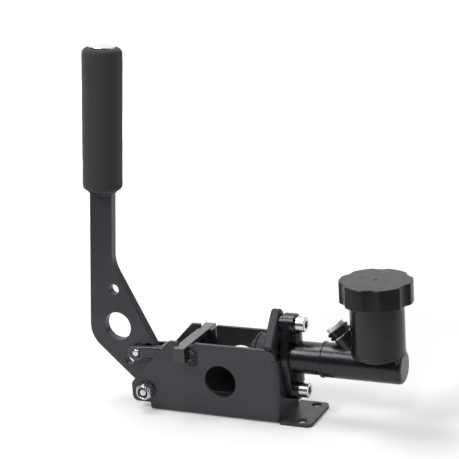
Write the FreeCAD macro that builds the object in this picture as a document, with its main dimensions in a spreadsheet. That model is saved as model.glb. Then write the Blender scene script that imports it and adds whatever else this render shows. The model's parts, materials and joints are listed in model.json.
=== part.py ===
"""Vertical hydraulic parking brake lever: folded base box, drilled lever with foam grip,
clevis and pushrod, and a flange-mounted master cylinder with its own fluid reservoir.

Millimetres. +X runs from the lever towards the master cylinder, +Y across the base, +Z up.
The origin lies on the underside of the base, midway between its four mounting holes.
"""
import FreeCAD
import Part
import os
import re
from math import atan2

import Sketcher

V = FreeCAD.Vector
doc = FreeCAD.newDocument("ParkingBrakeLever")
sheet = doc.addObject("Spreadsheet::Sheet", "Sizes")
parts = {}


# The driving dimensions, in millimetres and degrees

SIZES = {
    # folded base box
    "hole_spacing_x": 110,  # mounting holes, front pair to rear pair
    "front_hole_spacing": 34,  # front mounting holes, across
    "rear_hole_spacing": 23,  # rear mounting holes, across
    "mount_hole": 8.5,  # mounting hole diameter
    "hole_to_edge": 10,  # front mounting holes to the end of the foot
    "floor_length": 145,  # floor from its rear edge to the end of the foot
    "foot_length": 27,  # foot in front of the front wall
    "foot_corner": 5,  # corner radius of the foot
    "box_width": 47,  # outer width of the folded box
    "sheet_gauge": 3,  # thickness of the folded steel
    "cut_past": 1,  # cuts run this far past the faces that they open
    "bend_inside": 1.5,  # inner radius of each bend
    "side_height": 64,  # top edge of the side plates
    "side_corner": 10,  # front top corner radius of the side plates
    "wall_drop": 10,  # top of the folded front wall below the side plates' top edge
    "relief_height": 3.5,  # bend relief above the front wall
    "slope_run": 22,  # rear end of the side plates' level top edge, from the floor's rear edge
    "lug_drop": 11.4,  # underside of the pivot lugs below the pivot
    "lug_reach": 14.3,  # pivot lugs behind the pivot
    "lug_shoulder": 5,  # foot of the lugs' slanted rear edge above the pivot
    "lug_corner": 5,  # corner radius of the pivot lugs
    "window": 28,  # round window in each side plate, diameter
    "window_setback": 51.3,  # window centre behind the front wall
    "window_height": 32.3,  # window centre above the underside
    "boot_gap": 0.5,  # clearance round the cylinder's spigot in the front wall
    # crossbar that stops the lever
    "bar_setback": 30,  # crossbar's rear face in front of the floor's rear edge
    "bar_depth": 10,  # crossbar along the box
    "bar_height": 13,  # crossbar height
    "bar_drop": 2,  # crossbar's top below the side plates' top edge
    "bar_length": 64.5,  # crossbar across the box
    "bar_relief_width": 20,  # relief under the crossbar, across
    "bar_web": 5,  # crossbar left above the relief
    "notch_slant": 6,  # slanted run-in of the crossbar's notch
    "weld_leg": 3,  # leg of the weld beads
    # lever pivot
    "pivot_overhang": 2.5,  # pivot behind the floor's rear edge
    "pivot_height": 18.4,  # pivot above the underside
    "pivot_pin": 8,  # pivot bolt diameter
    "pivot_play": 0.05,  # running clearance on radius at the pivots
    "bush_wall": 2,  # wall of the lever's bush
    "spacer_wall": 3,  # wall of the spacer tubes beside the lever
    "side_play": 0.3,  # play between the lever's bush and each spacer
    "bush_proud": 0.3,  # bush standing proud of each face of the lever
    "bolt_flats": 13,  # across flats of the pivot bolt and nut
    "bolt_head_height": 5.3,  # pivot bolt head
    "nut_height": 7,  # pivot lock nut
    "nut_collar": 2,  # round collar of the lock nut that holds its nylon ring
    "collar_inset": 0.4,  # that collar inside the nut's flats
    "washer_width": 16,  # outer diameter of the pivot washers
    "washer_gauge": 1.5,  # thickness of the pivot washers
    "thread_stand": 1,  # bolt ends standing proud of their nuts
    # lever plate and handle
    "lean": 5.7,  # lean of the handle towards the cylinder at rest, degrees
    "lever_gauge": 8,  # thickness of the lever plate
    "lever_width": 20.8,  # width of the lever's handle section
    "handle_offset": 55,  # handle axis behind the pivot
    "boss_radius": 15,  # lever's rounded end about the pivot
    "heel_angle": 36.6,  # slope of the lever's lower edge, degrees
    "breast_angle": 57.9,  # slope of the lever's front edge, degrees
    "heel_radius": 24,  # rounding at the lever's heel
    "breast_radius": 30,  # rounding under the handle section
    "tang_length": 89,  # lever plate inside the grip tube
    "tang_width": 17,  # lever plate above the collar, inside the grip tube
    "pin_circle": 30.5,  # clevis pin holes from the pivot
    "pin_angle": 129.5,  # middle clevis pin hole round the pivot, degrees
    "pin_pitch": 23,  # angle between clevis pin holes, degrees
    "pin_hole_count": 3,  # clevis pin holes
    "clevis_pin_size": 8,  # clevis pin diameter
    "web_hole": 25,  # large lightening hole, diameter
    "web_hole_back": 38.7,  # large hole behind the pivot, along the lever's cross axis
    "web_hole_up": 43.3,  # large hole above the pivot, along the lever
    "small_hole": 9.5,  # small upper hole, diameter
    "small_hole_back": 42.7,  # small hole behind the pivot, along the lever's cross axis
    "small_hole_up": 76.1,  # small hole above the pivot, along the lever
    # grip
    "grip_tube_size": 22.2,  # outer diameter of the grip tube
    "grip_tube_wall": 1.5,  # wall of the grip tube
    "collar_size": 22.8,  # outer diameter of the collar under the grip
    "collar_height": 2.2,  # height of that collar
    "slot_play": 0.1,  # clearance of the collar's slot round the lever plate
    "grip_size": 33.6,  # outer diameter of the foam grip
    "grip_bottom": 163,  # foam grip's lower end, along the lever from the pivot
    "grip_length": 120.8,  # length of the foam grip
    "grip_round": 4.6,  # rounding at both ends of the foam grip
    "plug_seat": 1.2,  # end of the grip tube below the foam's top
    "plug_rim": 1.6,  # straight rim of the end plug
    "plug_dome": 1.4,  # rise of the plug's dome above its rim
    "plug_spigot": 12,  # plug inside the tube
    # clevis and pushrod
    "arm_gauge": 4,  # thickness of each clevis arm
    "clevis_slot": 9,  # slot between the clevis arms
    "clevis_height": 13,  # height of the clevis
    "clevis_nose": 5,  # clevis beyond the pin
    "nose_round": 4.6,  # rounding of the clevis arms beyond the pin
    "slot_reach": 24.5,  # depth of the slot in front of the pin
    "clevis_reach": 32,  # clevis from the pin to its threaded end
    "rod_size": 8,  # pushrod diameter
    "rod_engagement": 6,  # pushrod thread inside the clevis
    "rod_nose": 3,  # rounding of the pushrod's end
    "jam_nut_height": 5,  # jam nut on the pushrod
    "pin_head_size": 12,  # clevis pin head diameter
    "pin_head_height": 3,  # clevis pin head height
    "arm_play": 0.3,  # play under the clevis pin's head
    # mount plate and flange
    "plate_gauge": 8,  # thickness of the mount plate
    "plate_play": 0.1,  # gap between the mount plate and each side plate
    "shoulder_lift": 0.3,  # mount plate's shoulders above the side plates
    "shoulder_rise": 3,  # foot of the mount plate's slanted edges above the side plates
    "ear_reach": 42.5,  # point where the slanted edges would meet, above the cylinder axis
    "ear_round": 4.5,  # rounding at the top of the mount plate
    "plate_chamfer": 3,  # lower corners of the mount plate
    "cylinder_height": 51.5,  # cylinder axis above the underside
    "flange_spacing": 57.15,  # distance between the two flange bolts
    "flange_bolt_size": 8,  # flange bolt diameter
    "bolt_play": 0.2,  # clearance hole allowance on radius
    "socket_head": 12.6,  # flange bolt head diameter
    "socket_head_height": 8,  # flange bolt head height
    "socket_flats": 6,  # hexagon socket in the bolt heads
    "socket_depth": 4,  # depth of that socket
    "head_chamfer": 0.8,  # chamfer round the bolt heads
    "spacer_ring_size": 15,  # spacer ring between the flange and the ear
    # master cylinder casting, positions measured from the flange's rear face
    "lobe_radius": 8.6,  # flange round each bolt
    "lobe_gauge": 10.5,  # thickness of the flange's lobes
    "flange_gauge": 6.5,  # thickness of the flange's middle
    "flange_half": 16,  # half width of the flange's middle
    "rib_gauge": 6,  # ribs between barrel and lobes, across
    "rib_length": 13.5,  # front of those ribs
    "rib_rise": 22,  # ribs' outer edges from the cylinder axis
    "spigot_size": 25,  # cylinder's spigot behind the flange
    "spigot_length": 15,  # length of that spigot
    "neck_radius": 13.3,  # barrel next to the flange
    "neck_length": 32,  # end of that stretch
    "band_radius": 15,  # raised band on the barrel
    "band_width": 2,  # width of the raised band
    "barrel_radius": 14.3,  # barrel under the reservoir
    "barrel_reach": 21.5,  # closed end of the barrel in front of the reservoir axis
    "barrel_round": 4,  # rounding of the closed end
    "bore": 19.05,  # cylinder bore
    "bore_depth": 84,  # end of the bore
    "feed_bore": 5,  # feed passage in the end of the bore
    "feed_drop": 6,  # feed passage from the reservoir
    "feed_offset": 11,  # feed passage in front of the reservoir axis
    "reservoir_place": 79,  # reservoir axis along the barrel
    "reservoir_radius": 21.8,  # reservoir outside
    "reservoir_wall": 3,  # reservoir wall
    "reservoir_bottom": 8,  # reservoir's outer underside above the cylinder axis
    "reservoir_floor": 16.5,  # reservoir's inner floor above the cylinder axis
    "reservoir_top": 66,  # rim of the reservoir above the cylinder axis
    "reservoir_round": 3,  # rounding of the reservoir's underside
    # outlet port, tilted back towards the flange
    "port_tilt": 39,  # outlet port's tilt from upright, degrees
    "port_place": 67.1,  # where the port's axis meets the cylinder axis
    "port_radius": 7.6,  # port boss where it leaves the barrel
    "port_mouth_radius": 8,  # port boss at its mouth
    "port_height": 28.3,  # mouth of the port from the cylinder axis
    "port_bore": 8.5,  # port's threaded bore
    "port_bore_depth": 10,  # depth of the port's threaded bore
    "port_passage": 3,  # passage from the bore to the port
    "seal_washer_gauge": 1,  # sealing washer of the port adapter
    "adapter_flats": 17,  # across flats of the port adapter
    "adapter_height": 6.5,  # hexagon of the port adapter
    "adapter_groove": 0.8,  # depth of the groove round the adapter
    "plug_head_size": 15.5,  # head of the port's blanking plug
    "plug_head_height": 4,  # height of the blanking plug's head
    "plug_shank_size": 5,  # shank of the blanking plug
    # reservoir cap
    "cap_radius": 29.4,  # cap outside, over its lobes
    "cap_height": 16,  # height of the cap
    "cap_lobes": 6,  # valleys round the cap
    "valley_radius": 16.2,  # radius of each valley
    "valley_depth": 2,  # depth of each valley
    "valley_start": 39.3,  # first valley's direction from +X, degrees
    "cap_chamfer": 0.8,  # chamfer round the cap's top edge
    "cap_top_gauge": 4,  # top of the cap
    "thread_play": 0.5,  # clearance between the cap and the reservoir's neck
    "vent_hole": 2,  # vent hole in the cap
    "gasket_gauge": 0.9,  # diaphragm gasket
    "gasket_drop": 10,  # diaphragm's folded part inside the reservoir
    "fold_inner": 9,  # inner radius of the diaphragm's folded part, at its lower end
    "fold_outer": 15,  # outer radius of the diaphragm's folded part, at its lower end
    "fold_slant": 1.8,  # slant of the fold's walls
    # dust boot
    "boot_radius": 19,  # dust boot's outer radius
    "boot_rim": 9.5,  # straight front part of the dust boot
    "boot_nose": 11,  # radius of the dust boot's rear face
    "boot_round": 4,  # rounding between those two
    "boot_length": 19,  # dust boot behind the mount plate
    "boot_wall": 2,  # wall of the dust boot
    "boot_lip": 7,  # radius of the boot's opening for the pushrod
    # inside the bore, positions measured from the flange's rear face
    "slide_play": 0.05,  # clearance on radius in the bore
    "groove_place": 3,  # snap ring groove
    "ring_gauge": 1.2,  # snap ring
    "groove_depth": 1,  # depth of the snap ring groove
    "stop_gauge": 1.5,  # stop washer
    "stop_hole": 14.4,  # hole in the stop washer
    "stop_play": 0.5,  # play between the stop washer and the piston at rest
    "piston_length": 26,  # piston
    "cup_radius": 6.3,  # cup in the piston's rear end
    "cup_depth": 9.1,  # depth of that cup
    "rod_end_gap": 0.3,  # play between the pushrod's end and the piston
    "stem_hole_radius": 3.2,  # hole in the piston for the valve stem
    "stem_hole_depth": 14.2,  # depth of that hole
    "seal_width": 3,  # main seal
    "seal_depth": 2.5,  # depth of the seal grooves
    "second_seal_width": 2.6,  # secondary seal
    "thimble_length": 14,  # spring retainer on the piston
    "thimble_radius": 4.2,  # spring retainer outside
    "thimble_flange": 8.6,  # spring retainer's flange radius
    "thimble_wall": 1,  # spring retainer's wall
    "stem_radius": 1.4,  # valve stem
    "stem_head_radius": 2.7,  # valve stem's head inside the retainer
    "stem_head_length": 2,  # length of that head
    "valve_radius": 4.4,  # valve disc on the stem
    "valve_gauge": 1.5,  # valve disc
    "valve_seal_gauge": 1.4,  # rubber face of the valve
    "valve_lift": 0.6,  # opening of the valve at rest
    "cage_length": 6,  # valve spacer at the end of the bore
    "cage_hole": 5.6,  # radius of the hole through the valve spacer
    "spring_radius": 6.9,  # return spring's mean radius
    "spring_wire": 1.6,  # return spring wire
    "wire_sides": 8,  # flat sides of that wire's section
    "spring_turns": 7,  # return spring turns
}


def fill_sheet():
    """One row of the sheet for each size: its name in words, and its value under an alias."""
    for row, (alias, value) in enumerate(SIZES.items(), start=1):
        sheet.set(f"A{row}", alias.replace("_", " "))
        sheet.set(f"B{row}", str(value))
        sheet.setAlias(f"B{row}", alias)
    doc.recompute()


# Derived places, as expressions of the sizes above

FLOOR_FRONT = "(hole_spacing_x / 2 + hole_to_edge)"
FLOOR_REAR = f"({FLOOR_FRONT} - floor_length)"
WALL_FRONT = f"({FLOOR_FRONT} - foot_length)"
WALL_REAR = f"({WALL_FRONT} - sheet_gauge)"
PIVOT_X = f"({FLOOR_REAR} - pivot_overhang)"
SLOPE_TOP = f"({FLOOR_REAR} + slope_run)"
LUG_REAR = f"({PIVOT_X} - lug_reach)"
INNER_HALF = "(box_width / 2 - sheet_gauge)"
WALL_TOP = "(side_height - wall_drop)"
LUG_BOTTOM = "(pivot_height - lug_drop)"
LUG_TOP = "(pivot_height + lug_shoulder)"
SHOULDER_TOP = "(side_height + shoulder_rise)"
EAR_APEX = "(cylinder_height + ear_reach)"
BAR_REAR = f"({FLOOR_REAR} + bar_setback)"
BAR_TOP = "(side_height - bar_drop)"
BAR_BOTTOM = f"({BAR_TOP} - bar_height)"
PLATE_REAR = f"({WALL_REAR} - plate_gauge)"
BUSH_HALF = "(lever_gauge / 2 + bush_proud)"
PIN_ANGLE = "(pin_angle - lean)"
PIN_X = f"({PIVOT_X} + pin_circle * cos({PIN_ANGLE}))"
PIN_Z = f"(pivot_height + pin_circle * sin({PIN_ANGLE}))"
PISTON_REAR = "(groove_place + ring_gauge + stop_gauge + stop_play)"
PISTON_FRONT = f"({PISTON_REAR} + piston_length)"
CUP_END = f"({PISTON_REAR} + cup_depth)"
ROD_END_X = f"({WALL_FRONT} + {CUP_END} - rod_end_gap)"
ROD_ANGLE = f"atan((cylinder_height - {PIN_Z}) / ({ROD_END_X} - {PIN_X}))"
ROD_REACH = f"sqrt(({ROD_END_X} - {PIN_X})^2 + (cylinder_height - {PIN_Z})^2)"
RESERVOIR_X = f"({WALL_FRONT} + reservoir_place)"
GRIP_TOP = "(grip_bottom + grip_length)"
COLLAR_BOTTOM = "(grip_bottom - collar_height)"
LEVER_TOP = f"({COLLAR_BOTTOM} + tang_length)"
BARREL_END = "(reservoir_place + barrel_reach)"
FEED_PLACE = "(reservoir_place + feed_offset)"
CAP_BOTTOM = "(reservoir_top + gasket_gauge + cap_top_gauge - cap_height)"
TUBE_TOP = f"({GRIP_TOP} - plug_seat)"


# Shared helpers

def ex(text):
    """The same expression with each size written as a cell of the sheet."""
    return re.sub(r"[a-z_]+[0-9]*", lambda m: f"Sizes.{m[0]}" if m[0] in SIZES else m[0], str(text))


def val(text):
    """The present value of an expression of sizes."""
    return float(sheet.evalExpression(ex(text)))


def spot(x, y, z):
    """A point from three expressions."""
    return V(val(x), val(y), val(z))


def new_body(label):
    body = doc.addObject("PartDesign::Body", label)
    body.Label = label
    parts[label] = body
    return body


def place(body, x="0", y="0", z="0", angle=None, axis=V(0, 1, 0)):
    """Puts a body at a place given in sizes, turned about one axis."""
    if angle is not None:
        body.Placement = FreeCAD.Placement(V(), FreeCAD.Rotation(axis, 1))
        body.setExpression("Placement.Rotation.Angle", ex(angle))
    for name, value in (("x", x), ("y", y), ("z", z)):
        body.setExpression(f"Placement.Base.{name}", ex(value))


def sketch(body, name, plane, offset="0"):
    """A sketch on one of the body's own origin planes, moved along that plane's normal."""
    planes = {feature.Role: feature for feature in body.Origin.OriginFeatures}
    drawn = body.newObject("Sketcher::SketchObject", name)
    drawn.AttachmentSupport = (planes[plane], [""])
    drawn.MapMode = "FlatFace"
    drawn.setExpression("AttachmentOffset.Base.z", ex(offset))
    return drawn


def pin_point(drawn, geometry, corner, x, y):
    """Ties one point of a sketch to two expressions of sizes."""
    for kind, value in (("DistanceX", x), ("DistanceY", y)):
        index = drawn.addConstraint(Sketcher.Constraint(kind, -1, 1, geometry, corner, val(value)))
        drawn.setExpression(f"Constraints[{index}]", ex(value))


def set_radius(drawn, geometry, radius):
    index = drawn.addConstraint(Sketcher.Constraint("Radius", geometry, val(radius)))
    drawn.setExpression(f"Constraints[{index}]", ex(radius))


def arc_side(drawn, start, end, centre):
    """An arc of under half a turn between two corners; gives the numbers of its two ends."""
    middle = V(val(centre[0]), val(centre[1]), 0)
    forward = (start - middle).cross(end - middle).z > 0
    ends = (start, end) if forward else (end, start)
    turned = [atan2(p.y - middle.y, p.x - middle.x) for p in ends]
    circle = Part.Circle(middle, V(0, 0, 1), (start - middle).Length)
    drawn.addGeometry(Part.ArcOfCircle(circle, *turned), False)
    return (1, 2) if forward else (2, 1)


def outline(drawn, points):
    """A closed outline, each corner tied to sizes.

    A corner is (x, y), and the side that leaves it is straight, or (x, y, centre x, centre y),
    and that side is an arc about the centre.
    """
    spots = [V(val(corner[0]), val(corner[1]), 0) for corner in points]
    first = drawn.GeometryCount
    count = len(points)
    ends = []
    for i, corner in enumerate(points):
        start, end = spots[i], spots[(i + 1) % count]
        if len(corner) > 2:
            ends.append(arc_side(drawn, start, end, corner[2:]))
        else:
            drawn.addGeometry(Part.LineSegment(start, end), False)
            ends.append((1, 2))
    for i in range(count):
        following = (i + 1) % count
        drawn.addConstraint(Sketcher.Constraint("Coincident", first + i, ends[i][1],
                                                first + following, ends[following][0]))
    for i, corner in enumerate(points):
        pin_point(drawn, first + i, ends[i][0], corner[0], corner[1])
        if len(corner) > 2:
            x, y, middle_x, middle_y = corner
            set_radius(drawn, first + i, f"sqrt((({x}) - ({middle_x}))^2 + (({y}) - ({middle_y}))^2)")


def block(drawn, left, right, low, high):
    outline(drawn, [(left, low), (right, low), (right, high), (left, high)])


def disc(drawn, x, y, radius):
    """A circle whose centre and radius are tied to sizes."""
    index = drawn.addGeometry(Part.Circle(V(val(x), val(y), 0), V(0, 0, 1), val(radius)), False)
    pin_point(drawn, index, 3, x, y)
    set_radius(drawn, index, radius)


def hexagon(drawn, x, y, flats):
    """A hexagon with two flats parallel to the sketch's first axis."""
    corner = f"({flats}) / sqrt(3)"
    half = f"({flats}) / 2"
    across = [(f"{x} + {corner}", y), (f"{x} + {corner} / 2", f"{y} + {half}"),
              (f"{x} - {corner} / 2", f"{y} + {half}"), (f"{x} - {corner}", y),
              (f"{x} - {corner} / 2", f"{y} - {half}"), (f"{x} + {corner} / 2", f"{y} - {half}")]
    outline(drawn, across)


def pad(body, drawn, length, both_ways=False, backwards=False):
    made = body.newObject("PartDesign::Pad", f"{drawn.Name}_pad")
    made.Profile = drawn
    made.setExpression("Length", ex(length))
    made.SideType = "Symmetric" if both_ways else "One side"
    made.Reversed = backwards
    doc.recompute()
    return made


def cut(body, drawn, length=None, both_ways=False, backwards=False):
    """A pocket, through everything where no length is given; it must take material away."""
    before = body.Shape.Volume
    made = body.newObject("PartDesign::Pocket", f"{drawn.Name}_cut")
    made.Profile = drawn
    if length is None:
        made.Type = "ThroughAll"
    else:
        made.setExpression("Length", ex(length))
    made.SideType = "Symmetric" if both_ways else "One side"
    made.Reversed = backwards
    doc.recompute()
    if not body.Shape.Volume < before:
        raise ValueError(f"{made.Name} takes nothing away")
    return made


def axis_line(drawn, *ends):
    """A construction line that turned shapes of this sketch use as Axis0."""
    near = V(val(ends[0]), val(ends[1]), 0)
    far = V(val(ends[2]), val(ends[3]), 0)
    index = drawn.addGeometry(Part.LineSegment(near, far), True)
    pin_point(drawn, index, 1, ends[0], ends[1])
    pin_point(drawn, index, 2, ends[2], ends[3])


def turn(body, drawn, axis="H_Axis"):
    made = body.newObject("PartDesign::Revolution", f"{drawn.Name}_turn")
    made.Profile = drawn
    made.ReferenceAxis = (drawn, [axis])
    doc.recompute()
    return made


def groove(body, drawn, axis="H_Axis"):
    before = body.Shape.Volume
    made = body.newObject("PartDesign::Groove", f"{drawn.Name}_groove")
    made.Profile = drawn
    made.ReferenceAxis = (drawn, [axis])
    doc.recompute()
    if not body.Shape.Volume < before:
        raise ValueError(f"{made.Name} takes nothing away")
    return made


def edges_at(shape, spots, label):
    """Names of the edges that pass through the given points."""
    names = [f"Edge{i + 1}" for i, edge in enumerate(shape.Edges)
             if any(edge.distToShape(Part.Vertex(p))[0] < 0.01 for p in spots)]
    if not names:
        raise ValueError(f"{label} has no edge at {spots}")
    return names


def round_off(body, spots, radius, kind="Fillet"):
    """Rounds, or chamfers, the edges through the given points of the body's own frame."""
    doc.recompute()
    base = body.Tip
    made = body.newObject(f"PartDesign::{kind}", f"{body.Label}_{kind}")
    made.Base = (base, edges_at(base.Shape, spots, body.Label))
    made.setExpression("Radius" if kind == "Fillet" else "Size", ex(radius))
    doc.recompute()
    return made


def turned_piece(label, profile, plane="XZ_Plane", axis="H_Axis"):
    """A body turned from a closed half profile of (along, radius) pairs."""
    body = new_body(label)
    drawn = sketch(body, f"{label}_profile", plane)
    outline(drawn, profile)
    turn(body, drawn, axis)
    return body


def upright(corner):
    """An (along, radius) corner, with or without an arc's centre, as (x, y) values."""
    along, radius, *centre = corner
    return (radius, along, *centre[::-1])


def tube_profile(start, end, outer, inner):
    return [(start, inner), (end, inner), (end, outer), (start, outer)]


def group(label, members):
    """Several separate solids that share one name."""
    made = doc.addObject("Part::Compound", label)
    made.Label = label
    made.Links = members
    for member in members:
        parts.pop(member.Label)
    parts[label] = made
    return made


# The folded base box

def base_tray():
    body = new_body("base_tray")
    side = sketch(body, "side_outline", "XZ_Plane")
    outline(side, [(WALL_FRONT, "0"), (WALL_FRONT, "side_height"), (SLOPE_TOP, "side_height"),
                   (LUG_REAR, LUG_TOP), (LUG_REAR, LUG_BOTTOM),
                   (FLOOR_REAR, LUG_BOTTOM), (FLOOR_REAR, "0")])
    pad(body, side, "box_width", both_ways=True)
    round_off(body, [spot(WALL_FRONT, "0", "side_height")], "side_corner")
    round_off(body, [spot(LUG_REAR, "0", LUG_BOTTOM), spot(LUG_REAR, "0", LUG_TOP)], "lug_corner")
    inside = sketch(body, "inside", "XY_Plane", "sheet_gauge")
    block(inside, f"{LUG_REAR} - cut_past", WALL_REAR, f"-{INNER_HALF}", INNER_HALF)
    cut(body, inside, "side_height", backwards=True)
    wall = sketch(body, "wall_top", "YZ_Plane", f"{WALL_REAR} - bend_inside")
    block(wall, f"-{INNER_HALF}", INNER_HALF, WALL_TOP, "side_height + cut_past")
    cut(body, wall, "sheet_gauge + bend_inside + cut_past", backwards=True)
    relief = sketch(body, "bend_relief", "XZ_Plane")
    block(relief, f"{WALL_REAR} - bend_inside", f"{WALL_FRONT} + cut_past",
          WALL_TOP, f"{WALL_TOP} + relief_height")
    cut(body, relief, both_ways=True)
    middle = val(f"({FLOOR_REAR} + {WALL_FRONT}) / 2")
    low = val(f"{WALL_TOP} / 2")
    half, inner = val("box_width / 2"), val(INNER_HALF)
    round_off(body, [V(middle, s * half, 0) for s in (-1, 1)]
              + [V(val(WALL_FRONT), s * half, low) for s in (-1, 1)], "bend_inside + sheet_gauge")
    round_off(body, [V(middle, s * inner, val("sheet_gauge")) for s in (-1, 1)]
              + [V(val(WALL_REAR), s * inner, low) for s in (-1, 1)], "bend_inside")
    foot = sketch(body, "foot", "XY_Plane")
    neck = f"({INNER_HALF} - bend_inside)"
    outline(foot, [(WALL_REAR, f"-{neck}"), (WALL_FRONT, f"-{neck}"), (WALL_FRONT, "-box_width / 2"),
                   (FLOOR_FRONT, "-box_width / 2"), (FLOOR_FRONT, "box_width / 2"),
                   (WALL_FRONT, "box_width / 2"), (WALL_FRONT, neck), (WALL_REAR, neck)])
    pad(body, foot, "sheet_gauge")
    toes = [V(val(FLOOR_FRONT), s * half, val("sheet_gauge / 2")) for s in (-1, 1)]
    round_off(body, toes, "foot_corner")
    openings = sketch(body, "windows", "XZ_Plane")
    disc(openings, f"{WALL_FRONT} - window_setback", "window_height", "window / 2")
    cut(body, openings, both_ways=True)
    notch = sketch(body, "bar_notch", "XZ_Plane")
    outline(notch, [(BAR_REAR, "side_height + cut_past"), (BAR_REAR, BAR_BOTTOM),
                    (f"{BAR_REAR} + bar_depth", BAR_BOTTOM),
                    (f"{BAR_REAR} + bar_depth", "side_height - notch_slant"),
                    (f"{BAR_REAR} + bar_depth + notch_slant + cut_past", "side_height + cut_past")])
    cut(body, notch, both_ways=True)
    pivot = sketch(body, "pivot_holes", "XZ_Plane")
    disc(pivot, PIVOT_X, "pivot_height", "pivot_pin / 2 + pivot_play")
    cut(body, pivot, both_ways=True)
    spigot = sketch(body, "spigot_opening", "YZ_Plane", WALL_REAR + " - bend_inside")
    disc(spigot, "0", "cylinder_height", "spigot_size / 2 + boot_gap")
    cut(body, spigot, "sheet_gauge + bend_inside + cut_past", backwards=True)
    bolt = sketch(body, "wall_bolt_hole", "YZ_Plane", WALL_REAR + " - bend_inside")
    disc(bolt, "0", "cylinder_height - flange_spacing / 2", "flange_bolt_size / 2 + bolt_play")
    cut(body, bolt, "sheet_gauge + bend_inside + cut_past", backwards=True)
    holes = sketch(body, "mounting_holes", "XY_Plane")
    for side_sign in ("-", ""):
        disc(holes, "hole_spacing_x / 2", f"{side_sign}front_hole_spacing / 2", "mount_hole / 2")
        disc(holes, "-hole_spacing_x / 2", f"{side_sign}rear_hole_spacing / 2", "mount_hole / 2")
    cut(body, holes, "sheet_gauge + cut_past", backwards=True)


def stop_bar():
    body = new_body("stop_bar")
    section = sketch(body, "bar_section", "YZ_Plane", BAR_REAR)
    under = f"{BAR_TOP} - bar_web"
    outline(section, [("-bar_length / 2", BAR_BOTTOM), ("-bar_relief_width / 2", BAR_BOTTOM),
                      ("-bar_relief_width / 2", under), ("bar_relief_width / 2", under),
                      ("bar_relief_width / 2", BAR_BOTTOM), ("bar_length / 2", BAR_BOTTOM),
                      ("bar_length / 2", BAR_TOP), ("-bar_length / 2", BAR_TOP)])
    pad(body, section, "bar_depth")


def weld_bead(label, corner_x, corner_z, run_x, run_z, side):
    """A three-cornered bead in the angle between the crossbar and one side plate."""
    body = new_body(label)
    inner = f"{side} * box_width / 2"
    outer = f"{side} * (box_width / 2 + weld_leg)"
    if run_z == "0":
        drawn = sketch(body, f"{label}_section", "YZ_Plane", corner_x)
        outline(drawn, [(inner, corner_z), (outer, corner_z), (inner, f"{corner_z} - weld_leg")])
        pad(body, drawn, run_x)
    else:
        drawn = sketch(body, f"{label}_section", "XY_Plane", corner_z)
        outline(drawn, [(corner_x, inner), (corner_x, outer), (f"{corner_x} + weld_leg", inner)])
        pad(body, drawn, run_z)
    return body


def weld_beads():
    beads = []
    for side, name in (("-1", "near"), ("1", "far")):
        beads.append(weld_bead(f"weld_under_{name}", BAR_REAR, BAR_BOTTOM, "bar_depth", "0", side))
        beads.append(weld_bead(f"weld_front_{name}", f"{BAR_REAR} + bar_depth", BAR_BOTTOM, "0",
                               "bar_height - notch_slant", side))
    group("weld_beads", beads)


# The lever's pivot, along Y

def along_y(label, profile):
    """A turned piece on the pivot's axis; its profile runs along Y."""
    body = new_body(label)
    drawn = sketch(body, f"{label}_profile", "XY_Plane")
    outline(drawn, [upright(corner) for corner in profile])
    turn(body, drawn, "V_Axis")
    place(body, PIVOT_X, "0", "pivot_height")
    return body


def pivot_fasteners():
    outside = "(box_width / 2)"
    beyond = f"({outside} + washer_gauge)"
    washers = []
    for side, name in (("-1", "near"), ("1", "far")):
        edges = tube_profile(f"{side} * {outside}", f"{side} * {beyond}", "washer_width / 2",
                             "pivot_pin / 2 + pivot_play")
        washers.append(along_y(f"pivot_washer_{name}", edges))
    group("pivot_washers", washers)
    bolt = new_body("pivot_bolt")
    shank = sketch(bolt, "shank", "XZ_Plane", f"-{beyond}")
    disc(shank, "0", "0", "pivot_pin / 2")
    pad(bolt, shank, f"2 * {beyond} + nut_height + thread_stand")
    head = sketch(bolt, "head", "XZ_Plane", f"-{beyond}")
    hexagon(head, "0", "0", "bolt_flats")
    pad(bolt, head, "bolt_head_height", backwards=True)
    place(bolt, PIVOT_X, "0", "pivot_height")
    nut = new_body("pivot_nut")
    flats = sketch(nut, "flats", "XZ_Plane", beyond)
    hexagon(flats, "0", "0", "bolt_flats")
    pad(nut, flats, "nut_height - nut_collar")
    collar = sketch(nut, "collar", "XZ_Plane", f"{beyond} + nut_height - nut_collar")
    disc(collar, "0", "0", "bolt_flats / 2 - collar_inset")
    pad(nut, collar, "nut_collar")
    thread = sketch(nut, "thread", "XZ_Plane", beyond)
    disc(thread, "0", "0", "pivot_pin / 2")
    cut(nut, thread, "nut_height", backwards=True)
    place(nut, PIVOT_X, "0", "pivot_height")
    spacers = []
    for side, name in (("-1", "near"), ("1", "far")):
        edges = tube_profile(f"{side} * ({BUSH_HALF} + side_play)", f"{side} * {INNER_HALF}",
                             "pivot_pin / 2 + spacer_wall", "pivot_pin / 2 + pivot_play")
        spacers.append(along_y(f"pivot_spacer_{name}", edges))
    group("pivot_spacers", spacers)


# The lever, drawn upright about its pivot and leaned as a whole

def on_lever(body):
    place(body, PIVOT_X, "0", "pivot_height", "lean")


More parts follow.
